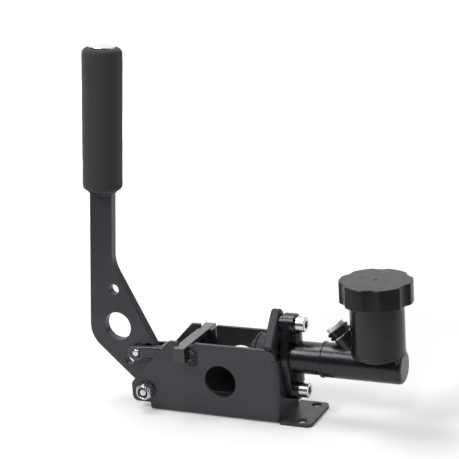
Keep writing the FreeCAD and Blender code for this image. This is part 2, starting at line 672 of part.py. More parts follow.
def lever_plate():
    body = new_body("lever_plate")
    rear = "(-handle_offset - lever_width / 2)"
    front = "(-handle_offset + lever_width / 2)"
    heel = f"(-(boss_radius + sin(heel_angle) * {rear}) / cos(heel_angle))"
    breast = f"((boss_radius - sin(breast_angle) * {front}) / cos(breast_angle))"
    tang_rear = "(-handle_offset - tang_width / 2)"
    tang_front = "(-handle_offset + tang_width / 2)"
    drawn = sketch(body, "lever_outline", "XZ_Plane")
    outline(drawn, [(tang_rear, LEVER_TOP), (tang_rear, COLLAR_BOTTOM), (rear, COLLAR_BOTTOM),
                    (rear, heel),
                    ("-boss_radius * sin(heel_angle)", "-boss_radius * cos(heel_angle)"),
                    ("0", "0"),
                    ("boss_radius * sin(breast_angle)", "boss_radius * cos(breast_angle)"),
                    (front, breast), (front, COLLAR_BOTTOM), (tang_front, COLLAR_BOTTOM),
                    (tang_front, LEVER_TOP)])
    pad(body, drawn, "lever_gauge", both_ways=True)
    eye = sketch(body, "pivot_end", "XZ_Plane")
    disc(eye, "0", "0", "boss_radius")
    pad(body, eye, "lever_gauge", both_ways=True)
    round_off(body, [spot(rear, "0", heel)], "heel_radius")
    round_off(body, [spot(front, "0", breast)], "breast_radius")
    holes = sketch(body, "lever_holes", "XZ_Plane")
    disc(holes, "0", "0", "pivot_pin / 2 + pivot_play + bush_wall")
    disc(holes, "-web_hole_back", "web_hole_up", "web_hole / 2")
    disc(holes, "-small_hole_back", "small_hole_up", "small_hole / 2")
    cut(body, holes, both_ways=True)
    pin = sketch(body, "pin_hole", "XZ_Plane")
    first = "(pin_angle - pin_pitch * (pin_hole_count - 1) / 2)"
    disc(pin, f"pin_circle * cos({first})", f"pin_circle * sin({first})",
         "clevis_pin_size / 2 + pivot_play")
    made = cut(body, pin, both_ways=True)
    ring = body.newObject("PartDesign::PolarPattern", "pin_holes")
    ring.Originals = [made]
    normals = {feature.Role: feature for feature in body.Origin.OriginFeatures}
    ring.Axis = (normals["Y_Axis"], [""])
    ring.Reversed = True
    ring.setExpression("Angle", ex("pin_pitch * (pin_hole_count - 1)"))
    ring.setExpression("Occurrences", ex("pin_hole_count"))
    body.Tip = ring
    on_lever(body)


def lever_bush():
    body = new_body("lever_bush")
    drawn = sketch(body, "bush_profile", "XY_Plane")
    block(drawn, "pivot_pin / 2 + pivot_play", "pivot_pin / 2 + pivot_play + bush_wall",
          f"-{BUSH_HALF}", BUSH_HALF)
    turn(body, drawn, "V_Axis")
    on_lever(body)


def on_handle(label, profile):
    """A piece turned about the handle's axis; its profile runs up the lever."""
    body = new_body(label)
    drawn = sketch(body, f"{label}_profile", "XZ_Plane")
    outline(drawn, [upright(corner) for corner in profile])
    turn(body, drawn, "V_Axis")
    along_x = f"{PIVOT_X} - handle_offset * cos(lean)"
    along_z = "pivot_height + handle_offset * sin(lean)"
    place(body, along_x, "0", along_z, "lean")
    return body


def grip():
    outer = "(grip_tube_size / 2)"
    inner = f"({outer} - grip_tube_wall)"
    on_handle("grip_tube", tube_profile("grip_bottom", TUBE_TOP, outer, inner))
    collar = on_handle("grip_collar", [(COLLAR_BOTTOM, "0"), ("grip_bottom", "0"),
                                       ("grip_bottom", "collar_size / 2"),
                                       (COLLAR_BOTTOM, "collar_size / 2")])
    slot = sketch(collar, "collar_slot", "XY_Plane", COLLAR_BOTTOM)
    block(slot, "-tang_width / 2 - slot_play", "tang_width / 2 + slot_play",
          "-lever_gauge / 2 - slot_play", "lever_gauge / 2 + slot_play")
    cut(collar, slot, "collar_height", backwards=True)
    foam = on_handle("grip_foam", tube_profile("grip_bottom", GRIP_TOP, "grip_size / 2", outer))
    rim = val("grip_size / 2")
    round_off(foam, [V(rim, 0, val("grip_bottom")), V(rim, 0, val(GRIP_TOP))], "grip_round")


def end_plug():
    """Plug in the end of the grip tube, with a shallow dome on its rim."""
    outer = "(grip_tube_size / 2)"
    inner = f"({outer} - grip_tube_wall)"
    brim = f"({TUBE_TOP} + plug_rim)"
    bulge = f"(({outer}^2 + plug_dome^2) / (2 * plug_dome))"
    start = f"({TUBE_TOP} - plug_spigot)"
    top = f"({brim} + plug_dome)"
    on_handle("end_plug", [(start, "0"), (top, "0", f"{top} - {bulge}", "0"), (brim, outer),
                           (TUBE_TOP, outer), (TUBE_TOP, inner), (start, inner)])


# Clevis and pushrod, drawn along X from the clevis pin and aimed at the piston's cup

def on_rod(body):
    place(body, PIN_X, "0", PIN_Z, f"-({ROD_ANGLE})")


def clevis():
    body = new_body("clevis")
    side = sketch(body, "clevis_side", "XZ_Plane")
    block(side, "-clevis_nose", "clevis_reach", "-clevis_height / 2", "clevis_height / 2")
    pad(body, side, "clevis_slot + 2 * arm_gauge", both_ways=True)
    nose = val("-clevis_nose")
    high = val("clevis_height / 2")
    round_off(body, [V(nose, 0, s * high) for s in (-1, 1)], "nose_round")
    slot = sketch(body, "clevis_slot_cut", "XY_Plane", "-clevis_height")
    block(slot, "-clevis_nose - cut_past", "slot_reach", "-clevis_slot / 2", "clevis_slot / 2")
    cut(body, slot, backwards=True)
    eye = sketch(body, "clevis_eye", "XZ_Plane")
    disc(eye, "0", "0", "clevis_pin_size / 2")
    cut(body, eye, both_ways=True)
    thread = sketch(body, "clevis_thread", "YZ_Plane", "slot_reach - cut_past")
    disc(thread, "0", "0", "rod_size / 2")
    cut(body, thread, "clevis_reach", backwards=True)
    on_rod(body)


def clevis_pin():
    body = new_body("clevis_pin")
    outside = "(clevis_slot / 2 + arm_gauge)"
    shank = sketch(body, "pin_shank", "XZ_Plane", outside)
    disc(shank, "0", "0", "clevis_pin_size / 2")
    pad(body, shank, f"2 * {outside} + arm_play", backwards=True)
    head = sketch(body, "pin_head", "XZ_Plane", f"-{outside} - arm_play")
    disc(head, "0", "0", "pin_head_size / 2")
    pad(body, head, "pin_head_height", backwards=True)
    on_rod(body)


def pushrod():
    start = "(clevis_reach - rod_engagement)"
    body = turned_piece("pushrod", [(start, "0"), (ROD_REACH, "0"), (ROD_REACH, "rod_size / 2"),
                                    (start, "rod_size / 2")])
    round_off(body, [V(val(ROD_REACH), 0, -val("rod_size / 2"))], "rod_nose")
    on_rod(body)
    nut = new_body("jam_nut")
    flats = sketch(nut, "jam_flats", "YZ_Plane", "clevis_reach")
    hexagon(flats, "0", "0", "bolt_flats")
    pad(nut, flats, "jam_nut_height")
    thread = sketch(nut, "jam_thread", "YZ_Plane", "clevis_reach")
    disc(thread, "0", "0", "rod_size / 2")
    cut(nut, thread, "jam_nut_height", backwards=True)
    on_rod(nut)


# Mount plate inside the front wall, with its ear above the box

def mount_plate():
    body = new_body("mount_plate")
    inner = f"({INNER_HALF} - plate_play)"
    step = "(side_height + shoulder_lift)"
    drawn = sketch(body, "plate_outline", "YZ_Plane", PLATE_REAR)
    outline(drawn, [(f"-{inner} + plate_chamfer", "sheet_gauge"),
                    (f"{inner} - plate_chamfer", "sheet_gauge"),
                    (inner, "sheet_gauge + plate_chamfer"), (inner, step),
                    ("box_width / 2", step), ("box_width / 2", SHOULDER_TOP), ("0", EAR_APEX),
                    ("-box_width / 2", SHOULDER_TOP), ("-box_width / 2", step),
                    (f"-{inner}", step), (f"-{inner}", "sheet_gauge + plate_chamfer")])
    pad(body, drawn, "plate_gauge")
    middle = f"{PLATE_REAR} + plate_gauge / 2"
    round_off(body, [spot(middle, "0", EAR_APEX)], "ear_round")
    sides = [spot(WALL_REAR, f"{sign}{inner}", "cylinder_height") for sign in ("", "-")]
    round_off(body, sides, "bend_inside", "Chamfer")
    holes = sketch(body, "plate_holes", "YZ_Plane", PLATE_REAR)
    disc(holes, "0", "cylinder_height", "spigot_size / 2 + bolt_play")
    for side in ("-", "+"):
        disc(holes, "0", f"cylinder_height {side} flange_spacing / 2",
             "flange_bolt_size / 2 + bolt_play")
    cut(body, holes, backwards=True)


def flange_fasteners():
    bolts = []
    for side, name in (("-", "lower"), ("+", "upper")):
        bolt = new_body(f"flange_bolt_{name}")
        head = sketch(bolt, f"bolt_head_{name}", "YZ_Plane")
        disc(head, "0", "0", "socket_head / 2")
        pad(bolt, head, "socket_head_height")
        shank = sketch(bolt, f"bolt_shank_{name}", "YZ_Plane")
        disc(shank, "0", "0", "flange_bolt_size / 2")
        pad(bolt, shank, "lobe_gauge + sheet_gauge + plate_gauge + thread_stand", backwards=True)
        socket = sketch(bolt, f"bolt_socket_{name}", "YZ_Plane", "socket_head_height")
        hexagon(socket, "0", "0", "socket_flats")
        cut(bolt, socket, "socket_depth")
        top = val("socket_head_height")
        round_off(bolt, [V(top, val("socket_head / 2"), 0)], "head_chamfer", "Chamfer")
        place(bolt, f"{WALL_FRONT} + lobe_gauge", "0", f"cylinder_height {side} flange_spacing / 2")
        bolts.append(bolt)
    group("flange_bolts", bolts)
    ring = turned_piece("flange_spacer", tube_profile(WALL_REAR, WALL_FRONT, "spacer_ring_size / 2",
                                                      "flange_bolt_size / 2 + bolt_play"))
    place(ring, "0", "0", "cylinder_height + flange_spacing / 2")


# Master cylinder casting, drawn from the flange's rear face along its bore

def on_cylinder(body):
    place(body, WALL_FRONT, "0", "cylinder_height")


def flange_outline(drawn, half, lobe):
    """Diamond flange: tangent lines from the middle disc to the lobes, as a many-cornered hull."""
    rise = "(flange_spacing / 2)"
    lean = f"asin(({half} - {lobe}) / {rise})"
    x = f"({half} * cos({lean}))"
    z = f"({half} * sin({lean}))"
    far_x = f"({lobe} * cos({lean}))"
    far_z = f"({rise} + {lobe} * sin({lean}))"
    outline(drawn, [(x, z), (far_x, far_z), (f"-{far_x}", far_z), (f"-{x}", z),
                    (f"-{x}", f"-{z}"), (f"-{far_x}", f"-{far_z}"), (far_x, f"-{far_z}"),
                    (x, f"-{z}")])


def cylinder_body():
    body = new_body("cylinder_body")
    barrel = sketch(body, "barrel_profile", "XZ_Plane")
    outline(barrel, [("-spigot_length", "0"), (BARREL_END, "0"), (BARREL_END, "barrel_radius"),
                     ("neck_length + band_width", "barrel_radius"),
                     ("neck_length + band_width", "band_radius"), ("neck_length", "band_radius"),
                     ("neck_length", "neck_radius"), ("0", "neck_radius"), ("0", "spigot_size / 2"),
                     ("-spigot_length", "spigot_size / 2")])
    turn(body, barrel)
    round_off(body, [V(val(BARREL_END), 0, -val("barrel_radius"))], "barrel_round")
    tank = sketch(body, "reservoir_outside", "XZ_Plane")
    corner_x = "(reservoir_place + reservoir_radius - reservoir_round)"
    corner_z = "(reservoir_bottom + reservoir_round)"
    outline(tank, [("reservoir_place", "reservoir_bottom"),
                   (corner_x, "reservoir_bottom", corner_x, corner_z),
                   ("reservoir_place + reservoir_radius", corner_z),
                   ("reservoir_place + reservoir_radius", "reservoir_top"),
                   ("reservoir_place", "reservoir_top")])
    axis_line(tank, "reservoir_place", "reservoir_bottom", "reservoir_place", "reservoir_top")
    turn(body, tank, "Axis0")
    diamond = sketch(body, "flange_diamond", "YZ_Plane")
    flange_outline(diamond, "flange_half", "lobe_radius")
    pad(body, diamond, "flange_gauge")
    middle = sketch(body, "flange_middle", "YZ_Plane")
    disc(middle, "0", "0", "flange_half")
    pad(body, middle, "flange_gauge")
    for side, name in (("-", "lower"), ("", "upper")):
        lobe = sketch(body, f"lobe_{name}", "YZ_Plane")
        disc(lobe, "0", f"{side}flange_spacing / 2", "lobe_radius")
        pad(body, lobe, "lobe_gauge")
    rib = sketch(body, "ribs", "YZ_Plane")
    block(rib, "-rib_gauge / 2", "rib_gauge / 2", "-rib_rise", "rib_rise")
    pad(body, rib, "rib_length")
    port = sketch(body, "port_boss", "XZ_Plane")
    tilted_outline(port, [("0", "0"), ("0", "port_radius"), ("barrel_radius", "port_radius"),
                          ("port_height", "port_mouth_radius"), ("port_height", "0")])
    turn(body, port, "Axis0")
    bore = sketch(body, "bore_profile", "XZ_Plane")
    ring = "(groove_place + ring_gauge)"
    outline(bore, [("-spigot_length - cut_past", "0"), ("bore_depth", "0"), ("bore_depth", "bore / 2"),
                   (ring, "bore / 2"), (ring, "bore / 2 + groove_depth"),
                   ("groove_place", "bore / 2 + groove_depth"), ("groove_place", "bore / 2"),
                   ("-spigot_length - cut_past", "bore / 2")])
    groove(body, bore)
    feed = sketch(body, "feed_bore", "YZ_Plane", "bore_depth - cut_past")
    disc(feed, "0", "0", "feed_bore / 2")
    cut(body, feed, f"{FEED_PLACE} - bore_depth + cut_past", backwards=True)
    inside = sketch(body, "reservoir_inside", "XY_Plane", "reservoir_floor")
    disc(inside, "reservoir_place", "0", "reservoir_radius - reservoir_wall")
    cut(body, inside, "reservoir_top - reservoir_floor + cut_past", backwards=True)
    drop = sketch(body, "feed_drop_hole", "XY_Plane")
    disc(drop, FEED_PLACE, "0", "feed_drop / 2")
    cut(body, drop, "reservoir_floor + cut_past", backwards=True)
    mouth = sketch(body, "port_thread", "XZ_Plane")
    deep = "(port_height - port_bore_depth)"
    tilted_outline(mouth, [("bore / 2 - cut_past", "0"), ("bore / 2 - cut_past", "port_passage / 2"),
                           (deep, "port_passage / 2"), (deep, "port_bore / 2"),
                           ("port_height + cut_past", "port_bore / 2"), ("port_height + cut_past", "0")])
    groove(body, mouth, "Axis0")
    bolts = sketch(body, "flange_holes", "YZ_Plane")
    for side in ("-", ""):
        disc(bolts, "0", f"{side}flange_spacing / 2", "flange_bolt_size / 2 + bolt_play")
    cut(body, bolts, "lobe_gauge + cut_past", backwards=True)
    on_cylinder(body)


def tilted_outline(drawn, profile):
    """Outline of (outward, radius) pairs about the port's axis, and that axis as Axis0."""
    out_x, out_z = "(-sin(port_tilt))", "cos(port_tilt)"
    side_x, side_z = "cos(port_tilt)", "sin(port_tilt)"
    points = [(f"port_place + ({along}) * {out_x} + ({radius}) * {side_x}",
               f"({along}) * {out_z} + ({radius}) * {side_z}") for along, radius in profile]
    outline(drawn, points)
    axis_line(drawn, "port_place", "0", f"port_place + port_height * {out_x}",
              f"port_height * {out_z}")


def on_port(body):
    place(body, f"{WALL_FRONT} + port_place", "0", "cylinder_height", "-port_tilt")


def port_pieces():
    washer_top = "(port_height + seal_washer_gauge)"
    top = f"({washer_top} + adapter_height)"
    washer = new_body("port_washer")
    ring = sketch(washer, "washer_ring", "XY_Plane", "port_height")
    disc(ring, "0", "0", "port_mouth_radius")
    pad(washer, ring, "seal_washer_gauge")
    hole = sketch(washer, "washer_hole", "XY_Plane", "port_height")
    disc(hole, "0", "0", "port_bore / 2")
    cut(washer, hole, "seal_washer_gauge", backwards=True)
    on_port(washer)
    adapter = new_body("port_adapter")
    flats = sketch(adapter, "adapter_flats", "XY_Plane", washer_top)
    hexagon(flats, "0", "0", "adapter_flats")
    pad(adapter, flats, "adapter_height")
    shank = sketch(adapter, "adapter_shank", "XY_Plane", washer_top)
    disc(shank, "0", "0", "port_bore / 2")
    pad(adapter, shank, "port_bore_depth", backwards=True)
    waist = sketch(adapter, "adapter_waist", "XZ_Plane")
    low = f"({washer_top} + adapter_height / 2 - adapter_groove / 2)"
    block(waist, "adapter_flats / 2 - adapter_groove", "adapter_flats",
          low, f"{low} + adapter_groove")
    groove(adapter, waist, "V_Axis")
    hole = sketch(adapter, "adapter_bore", "XY_Plane", top)
    disc(hole, "0", "0", "plug_shank_size / 2")
    cut(adapter, hole)
    on_port(adapter)
    plug = new_body("port_plug")
    head = sketch(plug, "plug_head", "XY_Plane", top)
    disc(head, "0", "0", "plug_head_size / 2")
    pad(plug, head, "plug_head_height")
    shank = sketch(plug, "plug_shank", "XY_Plane", top)
    disc(shank, "0", "0", "plug_shank_size / 2")
    pad(plug, shank, "adapter_height", backwards=True)
    on_port(plug)


def outer_rim(shape, height, clear):
    """Middle points of the level edges at a height that lie well away from the Z axis."""
    middles = [edge.valueAt((edge.FirstParameter + edge.LastParameter) / 2) for edge in shape.Edges
               if edge.BoundBox.ZLength < 0.001]
    return [p for p in middles if abs(p.z - height) < 0.001 and V(p.x, p.y, 0).Length > clear]


def reservoir_cap():
    body = new_body("reservoir_cap")
    skirt = sketch(body, "cap_round", "XY_Plane", CAP_BOTTOM)
    disc(skirt, "0", "0", "cap_radius")
    pad(body, skirt, "cap_height")
    valley = sketch(body, "cap_valley", "XY_Plane", CAP_BOTTOM)
    out = "(cap_radius - valley_depth + valley_radius)"
    disc(valley, f"{out} * cos(valley_start)", f"{out} * sin(valley_start)", "valley_radius")
    made = cut(body, valley, backwards=True)
    ring = body.newObject("PartDesign::PolarPattern", "cap_valleys")
    ring.Originals = [made]
    axes = {feature.Role: feature for feature in body.Origin.OriginFeatures}
    ring.Axis = (axes["Z_Axis"], [""])
    ring.Angle = 360
    ring.setExpression("Occurrences", ex("cap_lobes"))
    body.Tip = ring
    doc.recompute()
    inside = sketch(body, "cap_inside", "XY_Plane", CAP_BOTTOM)
    disc(inside, "0", "0", "reservoir_radius + thread_play")
    cut(body, inside, "cap_height - cap_top_gauge", backwards=True)
    vent = sketch(body, "vent", "XY_Plane", CAP_BOTTOM)
    disc(vent, "0", "0", "vent_hole / 2")
    cut(body, vent, backwards=True)
    rim = outer_rim(body.Tip.Shape, val(f"{CAP_BOTTOM} + cap_height"), val("cap_radius / 2"))
    round_off(body, rim, "cap_chamfer", "Chamfer")
    place(body, RESERVOIR_X, "0", "cylinder_height")


def cap_gasket():
    """Diaphragm on the reservoir's rim, its folded part hanging into the reservoir."""
    seat = "reservoir_top"
    top = "(reservoir_top + gasket_gauge)"
    low = "(reservoir_top - gasket_drop)"
    floor = f"({low} + gasket_gauge)"
    wide = "(fold_outer + fold_slant)"
    narrow = "(fold_inner - fold_slant)"
    body = new_body("cap_gasket")
    drawn = sketch(body, "gasket_profile", "XZ_Plane")
    outline(drawn, [("0", top), ("0", seat), (narrow, seat), ("fold_inner", low), ("fold_outer", low),
                    (wide, seat), ("reservoir_radius", seat), ("reservoir_radius", top),
                    (f"{wide} - gasket_gauge", top), ("fold_outer - gasket_gauge", floor),
                    ("fold_inner + gasket_gauge", floor), (f"{narrow} + gasket_gauge", top)])
    turn(body, drawn, "V_Axis")
    place(body, RESERVOIR_X, "0", "cylinder_height")


def dust_boot():
    """Rubber boot on the cylinder's spigot, open round the pushrod."""
    outer_end = "(-sheet_gauge - plate_gauge)"
    shoulder = f"({outer_end} - boot_rim)"
    rear = f"({outer_end} - boot_length)"
    seat = "(spigot_size / 2 + slide_play)"
    behind = "(-spigot_length - slide_play)"
    body = turned_piece("dust_boot", [
        (outer_end, seat), (outer_end, "boot_radius"), (shoulder, "boot_radius"),
        (rear, "boot_nose"), (rear, "boot_lip"), (f"{rear} + boot_wall", "boot_lip"),
        (f"{rear} + boot_wall", "boot_nose - boot_wall / 2"), (behind, seat)])
    round_off(body, [V(val(shoulder), 0, -val("boot_radius")), V(val(rear), 0, -val("boot_nose"))],
              "boot_round")
    on_cylinder(body)


# Pieces inside the bore

def cylinder_internals():
    fit = "(bore / 2 - slide_play)"
    ring = turned_piece("snap_ring", tube_profile("groove_place", "groove_place + ring_gauge",
                                                  "bore / 2 + groove_depth - slide_play",
                                                  "bore / 2 - groove_depth"))
    on_cylinder(ring)
    stop = "(groove_place + ring_gauge)"
    washer = turned_piece("stop_washer",
                          tube_profile(stop, f"{stop} + stop_gauge", fit, "stop_hole / 2"))
    on_cylinder(washer)
    seal_end = f"({PISTON_FRONT} - seal_width / 2)"
    second = f"({PISTON_REAR} + second_seal_width)"
    piston = turned_piece("piston", [
        (PISTON_REAR, "cup_radius"), (CUP_END, "cup_radius"), (CUP_END, "0"),
        (f"{PISTON_FRONT} - stem_hole_depth", "0"),
        (f"{PISTON_FRONT} - stem_hole_depth", "stem_hole_radius"),
        (PISTON_FRONT, "stem_hole_radius"), (PISTON_FRONT, fit),
        (seal_end, fit), (seal_end, f"{fit} - seal_depth"),
        (f"{seal_end} - seal_width", f"{fit} - seal_depth"), (f"{seal_end} - seal_width", fit),
        (f"{second} + second_seal_width", fit),
        (f"{second} + second_seal_width", f"{fit} - seal_depth"),
        (second, f"{fit} - seal_depth"), (second, fit), (PISTON_REAR, fit)])
    on_cylinder(piston)
    for label, start, width in (("main_seal", f"{seal_end} - seal_width", "seal_width"),
                                ("secondary_seal", second, "second_seal_width")):
        seal = turned_piece(label,
                            tube_profile(start, f"{start} + {width}", fit, f"{fit} - seal_depth"))
        on_cylinder(seal)
    tube_end = f"({PISTON_FRONT} + thimble_length)"
    inner = "(thimble_radius - thimble_wall)"
    stem_hole = "(stem_radius + slide_play)"
    thimble = turned_piece("spring_retainer", [
        (PISTON_FRONT, inner), (f"{tube_end} - thimble_wall", inner),
        (f"{tube_end} - thimble_wall", stem_hole), (tube_end, stem_hole), (tube_end, "thimble_radius"),
        (f"{PISTON_FRONT} + thimble_wall", "thimble_radius"),
        (f"{PISTON_FRONT} + thimble_wall", "thimble_flange"), (PISTON_FRONT, "thimble_flange")])
    on_cylinder(thimble)
    head_front = f"({tube_end} - thimble_wall - slide_play)"
    face = "(bore_depth - valve_lift)"
    back = f"({face} - valve_seal_gauge - valve_gauge)"
    stem = turned_piece("valve_stem", [
        (f"{head_front} - stem_head_length", "0"), (f"{face} - valve_seal_gauge", "0"),
        (f"{face} - valve_seal_gauge", "valve_radius"), (back, "valve_radius"), (back, "stem_radius"),
        (head_front, "stem_radius"), (head_front, "stem_head_radius"),
        (f"{head_front} - stem_head_length", "stem_head_radius")])
    on_cylinder(stem)
    rubber = turned_piece("valve_seal", [(f"{face} - valve_seal_gauge", "0"), (face, "0"),
                                         (face, "valve_radius"),
                                         (f"{face} - valve_seal_gauge", "valve_radius")])
    on_cylinder(rubber)
    cage = turned_piece("valve_spacer",
                        tube_profile("bore_depth - cage_length", "bore_depth", fit, "cage_hole"))
    on_cylinder(cage)


def return_spring():
    """The coil inside the bore; its round wire is drawn with flat sides, to keep it light."""
    body = new_body("return_spring")
    start = f"({PISTON_FRONT} + thimble_wall + spring_wire / 2)"
    end = "(bore_depth - cage_length - spring_wire / 2)"
    corner = "(spring_wire / 2)"
    step = "(360 / wire_sides)"
    drawn = sketch(body, "wire_section", "XZ_Plane")
    outline(drawn, [(f"{start} + {corner} * cos({i} * {step})",
                     f"spring_radius + {corner} * sin({i} * {step})")
                    for i in range(SIZES["wire_sides"])])
    coil = body.newObject("PartDesign::AdditiveHelix", "coil")
    coil.Profile = drawn
    coil.ReferenceAxis = (drawn, ["H_Axis"])
    coil.Mode = "height-turns-angle"
    coil.setExpression("Height", ex(f"{end} - {start}"))
    coil.setExpression("Turns", ex("spring_turns"))
    doc.recompute()
    on_cylinder(body)


# Build, check and write

def build():
    fill_sheet()
    base_tray()
    stop_bar()
    weld_beads()
    pivot_fasteners()
    lever_plate()
    lever_bush()
    grip()
    end_plug()
    clevis()
    clevis_pin()
    pushrod()
    mount_plate()
    flange_fasteners()
    cylinder_body()
    port_pieces()
    reservoir_cap()
    cap_gasket()
    dust_boot()
    cylinder_internals()
    return_spring()


def check_and_write():
    doc.recompute()
    for made in doc.Objects:
        if "Invalid" in made.State or "Error" in made.State:
            raise ValueError(f"{made.Label} did not build: {made.State}")
    os.makedirs("parts", exist_ok=True)
    for label, made in parts.items():
        shape = made.Shape
        if shape.isNull() or not shape.isValid() or not shape.Solids:
            raise ValueError(f"{label} is not a valid solid")
        shape.exportStep(f"parts/{label}.step")
    print(len(parts), "parts written")


build()
check_and_write()
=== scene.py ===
"""Parking brake lever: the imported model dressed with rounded, textured pieces on a studio floor.

Sizes inside the functions are millimetres in the frame's own axes: +X runs from the lever to the
master cylinder, +Y across the base and +Z up. They become metres as a mesh is made.
"""
import json
from collections import namedtuple
from math import ceil, cos, pi, radians, sin
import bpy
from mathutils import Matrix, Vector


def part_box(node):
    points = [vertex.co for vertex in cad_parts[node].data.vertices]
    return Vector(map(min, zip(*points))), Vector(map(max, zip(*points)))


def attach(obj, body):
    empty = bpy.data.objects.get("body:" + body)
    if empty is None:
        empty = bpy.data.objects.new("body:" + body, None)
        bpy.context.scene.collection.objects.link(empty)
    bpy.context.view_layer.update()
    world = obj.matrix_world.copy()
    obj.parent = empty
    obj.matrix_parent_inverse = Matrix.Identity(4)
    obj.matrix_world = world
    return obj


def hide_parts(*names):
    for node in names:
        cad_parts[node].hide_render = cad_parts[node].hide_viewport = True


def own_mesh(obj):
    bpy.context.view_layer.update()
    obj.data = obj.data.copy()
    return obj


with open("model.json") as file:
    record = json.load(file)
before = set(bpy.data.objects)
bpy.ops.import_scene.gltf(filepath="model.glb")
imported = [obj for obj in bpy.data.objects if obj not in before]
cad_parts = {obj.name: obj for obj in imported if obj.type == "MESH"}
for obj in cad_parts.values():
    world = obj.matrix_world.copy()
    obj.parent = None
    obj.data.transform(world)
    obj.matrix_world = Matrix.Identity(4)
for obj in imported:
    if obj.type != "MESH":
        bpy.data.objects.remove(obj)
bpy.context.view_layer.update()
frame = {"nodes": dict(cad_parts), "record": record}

from types import SimpleNamespace

import bmesh
import bpy
import numpy as np
from mathutils import Matrix
from mathutils.geometry import tessellate_polygon

bl_info = {
    "name": "Parking Brake Lever",
    "version": (1, 0, 0),
    "blender": (4, 5, 0),
    "location": "View3D > Sidebar > Brake Lever",
    "description": "Makes the pieces, finishes and studio of a hydraulic parking brake lever",
    "category": "Object",
}

MM = 0.001
TURN = 2 * pi
SHEEN = (0.93, 0.95, 1.0, 1.0)  # the cool tint of a black finish's reflections


# Settings

def number(label, description, value, **options):
    """A number setting; options are its limits, unit and subtype."""
    return bpy.props.FloatProperty(name=label, description=description, default=value, **options)


def length(label, description, millimetres):
    """A length setting, given here in millimetres."""
    return number(label, description, millimetres * MM, min=0.0, precision=4, unit="LENGTH")


def share(label, description, value):
    """A setting between 0 and 1."""
    return number(label, description, value, min=0.0, max=1.0, subtype="FACTOR")


def turn_of(label, description, degrees):
    """An angle setting, given here in degrees."""
    return number(label, description, radians(degrees), subtype="ANGLE", unit="ROTATION")


def power(label, description, watts):
    """A lamp's power setting."""
    return number(label, description, watts, min=0.0, unit="POWER")


def tint(label, description, colour):
    """A colour setting."""
    return bpy.props.FloatVectorProperty(name=label, description=description, default=colour,
                                         min=0.0, max=1.0, size=3, subtype="COLOR")


class BrakeBoxSettings(bpy.types.PropertyGroup):
    """The folded box, its crossbar and its welds."""

    ease: length("Sheet edge", "Rounding of the folded sheet's cut edges", 0.45)
    half_width: length("Half width", "Outer face of a side plate from the middle", 23.5)
    bar_rear: length("Bar rear", "Rear face of the crossbar behind the origin", 50)
    bar_depth: length("Bar depth", "Crossbar along the box", 10)
    bar_length: length("Bar length", "Crossbar across the box", 64.5)
    bar_bottom: length("Bar bottom", "Underside of the crossbar", 49)
    bar_top: length("Bar top", "Top of the crossbar", 62)
    relief_half: length("Relief half", "Half width of the relief under the crossbar", 10)
    relief_top: length("Relief top", "Top of the relief under the crossbar", 57)
    bar_ease: length("Bar edge", "Rounding of the crossbar's edges", 0.5)
    weld_leg: length("Weld leg", "Leg of the weld beads on the crossbar", 3.4)
    weld_reach: length("Weld reach", "Reach of the upright weld along the side plate", 8)
    weld_front: length("Front weld", "Length of the upright weld in front of the crossbar", 14)
    slit: length("Weld slit", "Gap left beside the weld in the far side plate", 1.3)
    relief_gap: length("Bend relief", "Gap left between side plate and front wall's bend", 0.7)
    ripple: length("Weld ripple", "Distance between ripples on a weld bead", 2.2)


class BrakeLeverSettings(bpy.types.PropertyGroup):
    """The lever plate and its grip, measured from the pivot along and across the lever."""

    pivot_back: length("Pivot", "Pivot behind the origin", 82.5)
    pivot_height: length("Pivot height", "Pivot above the floor", 18.4)
    lean: turn_of("Lean", "Lean of the handle towards the cylinder", 5.7)
    gauge: length("Plate thickness", "Thickness of the lever plate", 8)
    ease: length("Plate edge", "Rounding of the lever's edges", 0.5)
    rear: length("Rear edge", "Rear edge behind the pivot", 65.4)
    front: length("Front edge", "Front edge behind the pivot", 44.6)
    handle: length("Handle axis", "Axis of the grip behind the pivot", 55)
    boss: length("Boss radius", "Round end about the pivot", 15)
    shoulder: length("Shoulder", "Underside of the collar, up the lever", 160.8)
    grip_bottom: length("Grip bottom", "Lower end of the foam", 163)
    grip_top: length("Grip top", "Upper end of the foam", 283.2)
    grip_radius: length("Grip radius", "Outer radius of the foam", 16.8)
    grip_bore: length("Grip bore", "Inner radius of the foam", 11.15)
    grip_round: length("Grip rounding", "Rounding at both ends of the foam", 4.6)
    collar_radius: length("Collar radius", "Outer radius of the collar", 11.4)
    plug_radius: length("Plug radius", "Outer radius of the end plug", 11.1)
    plug_top: length("Plug top", "Top of the end plug", 285.2)


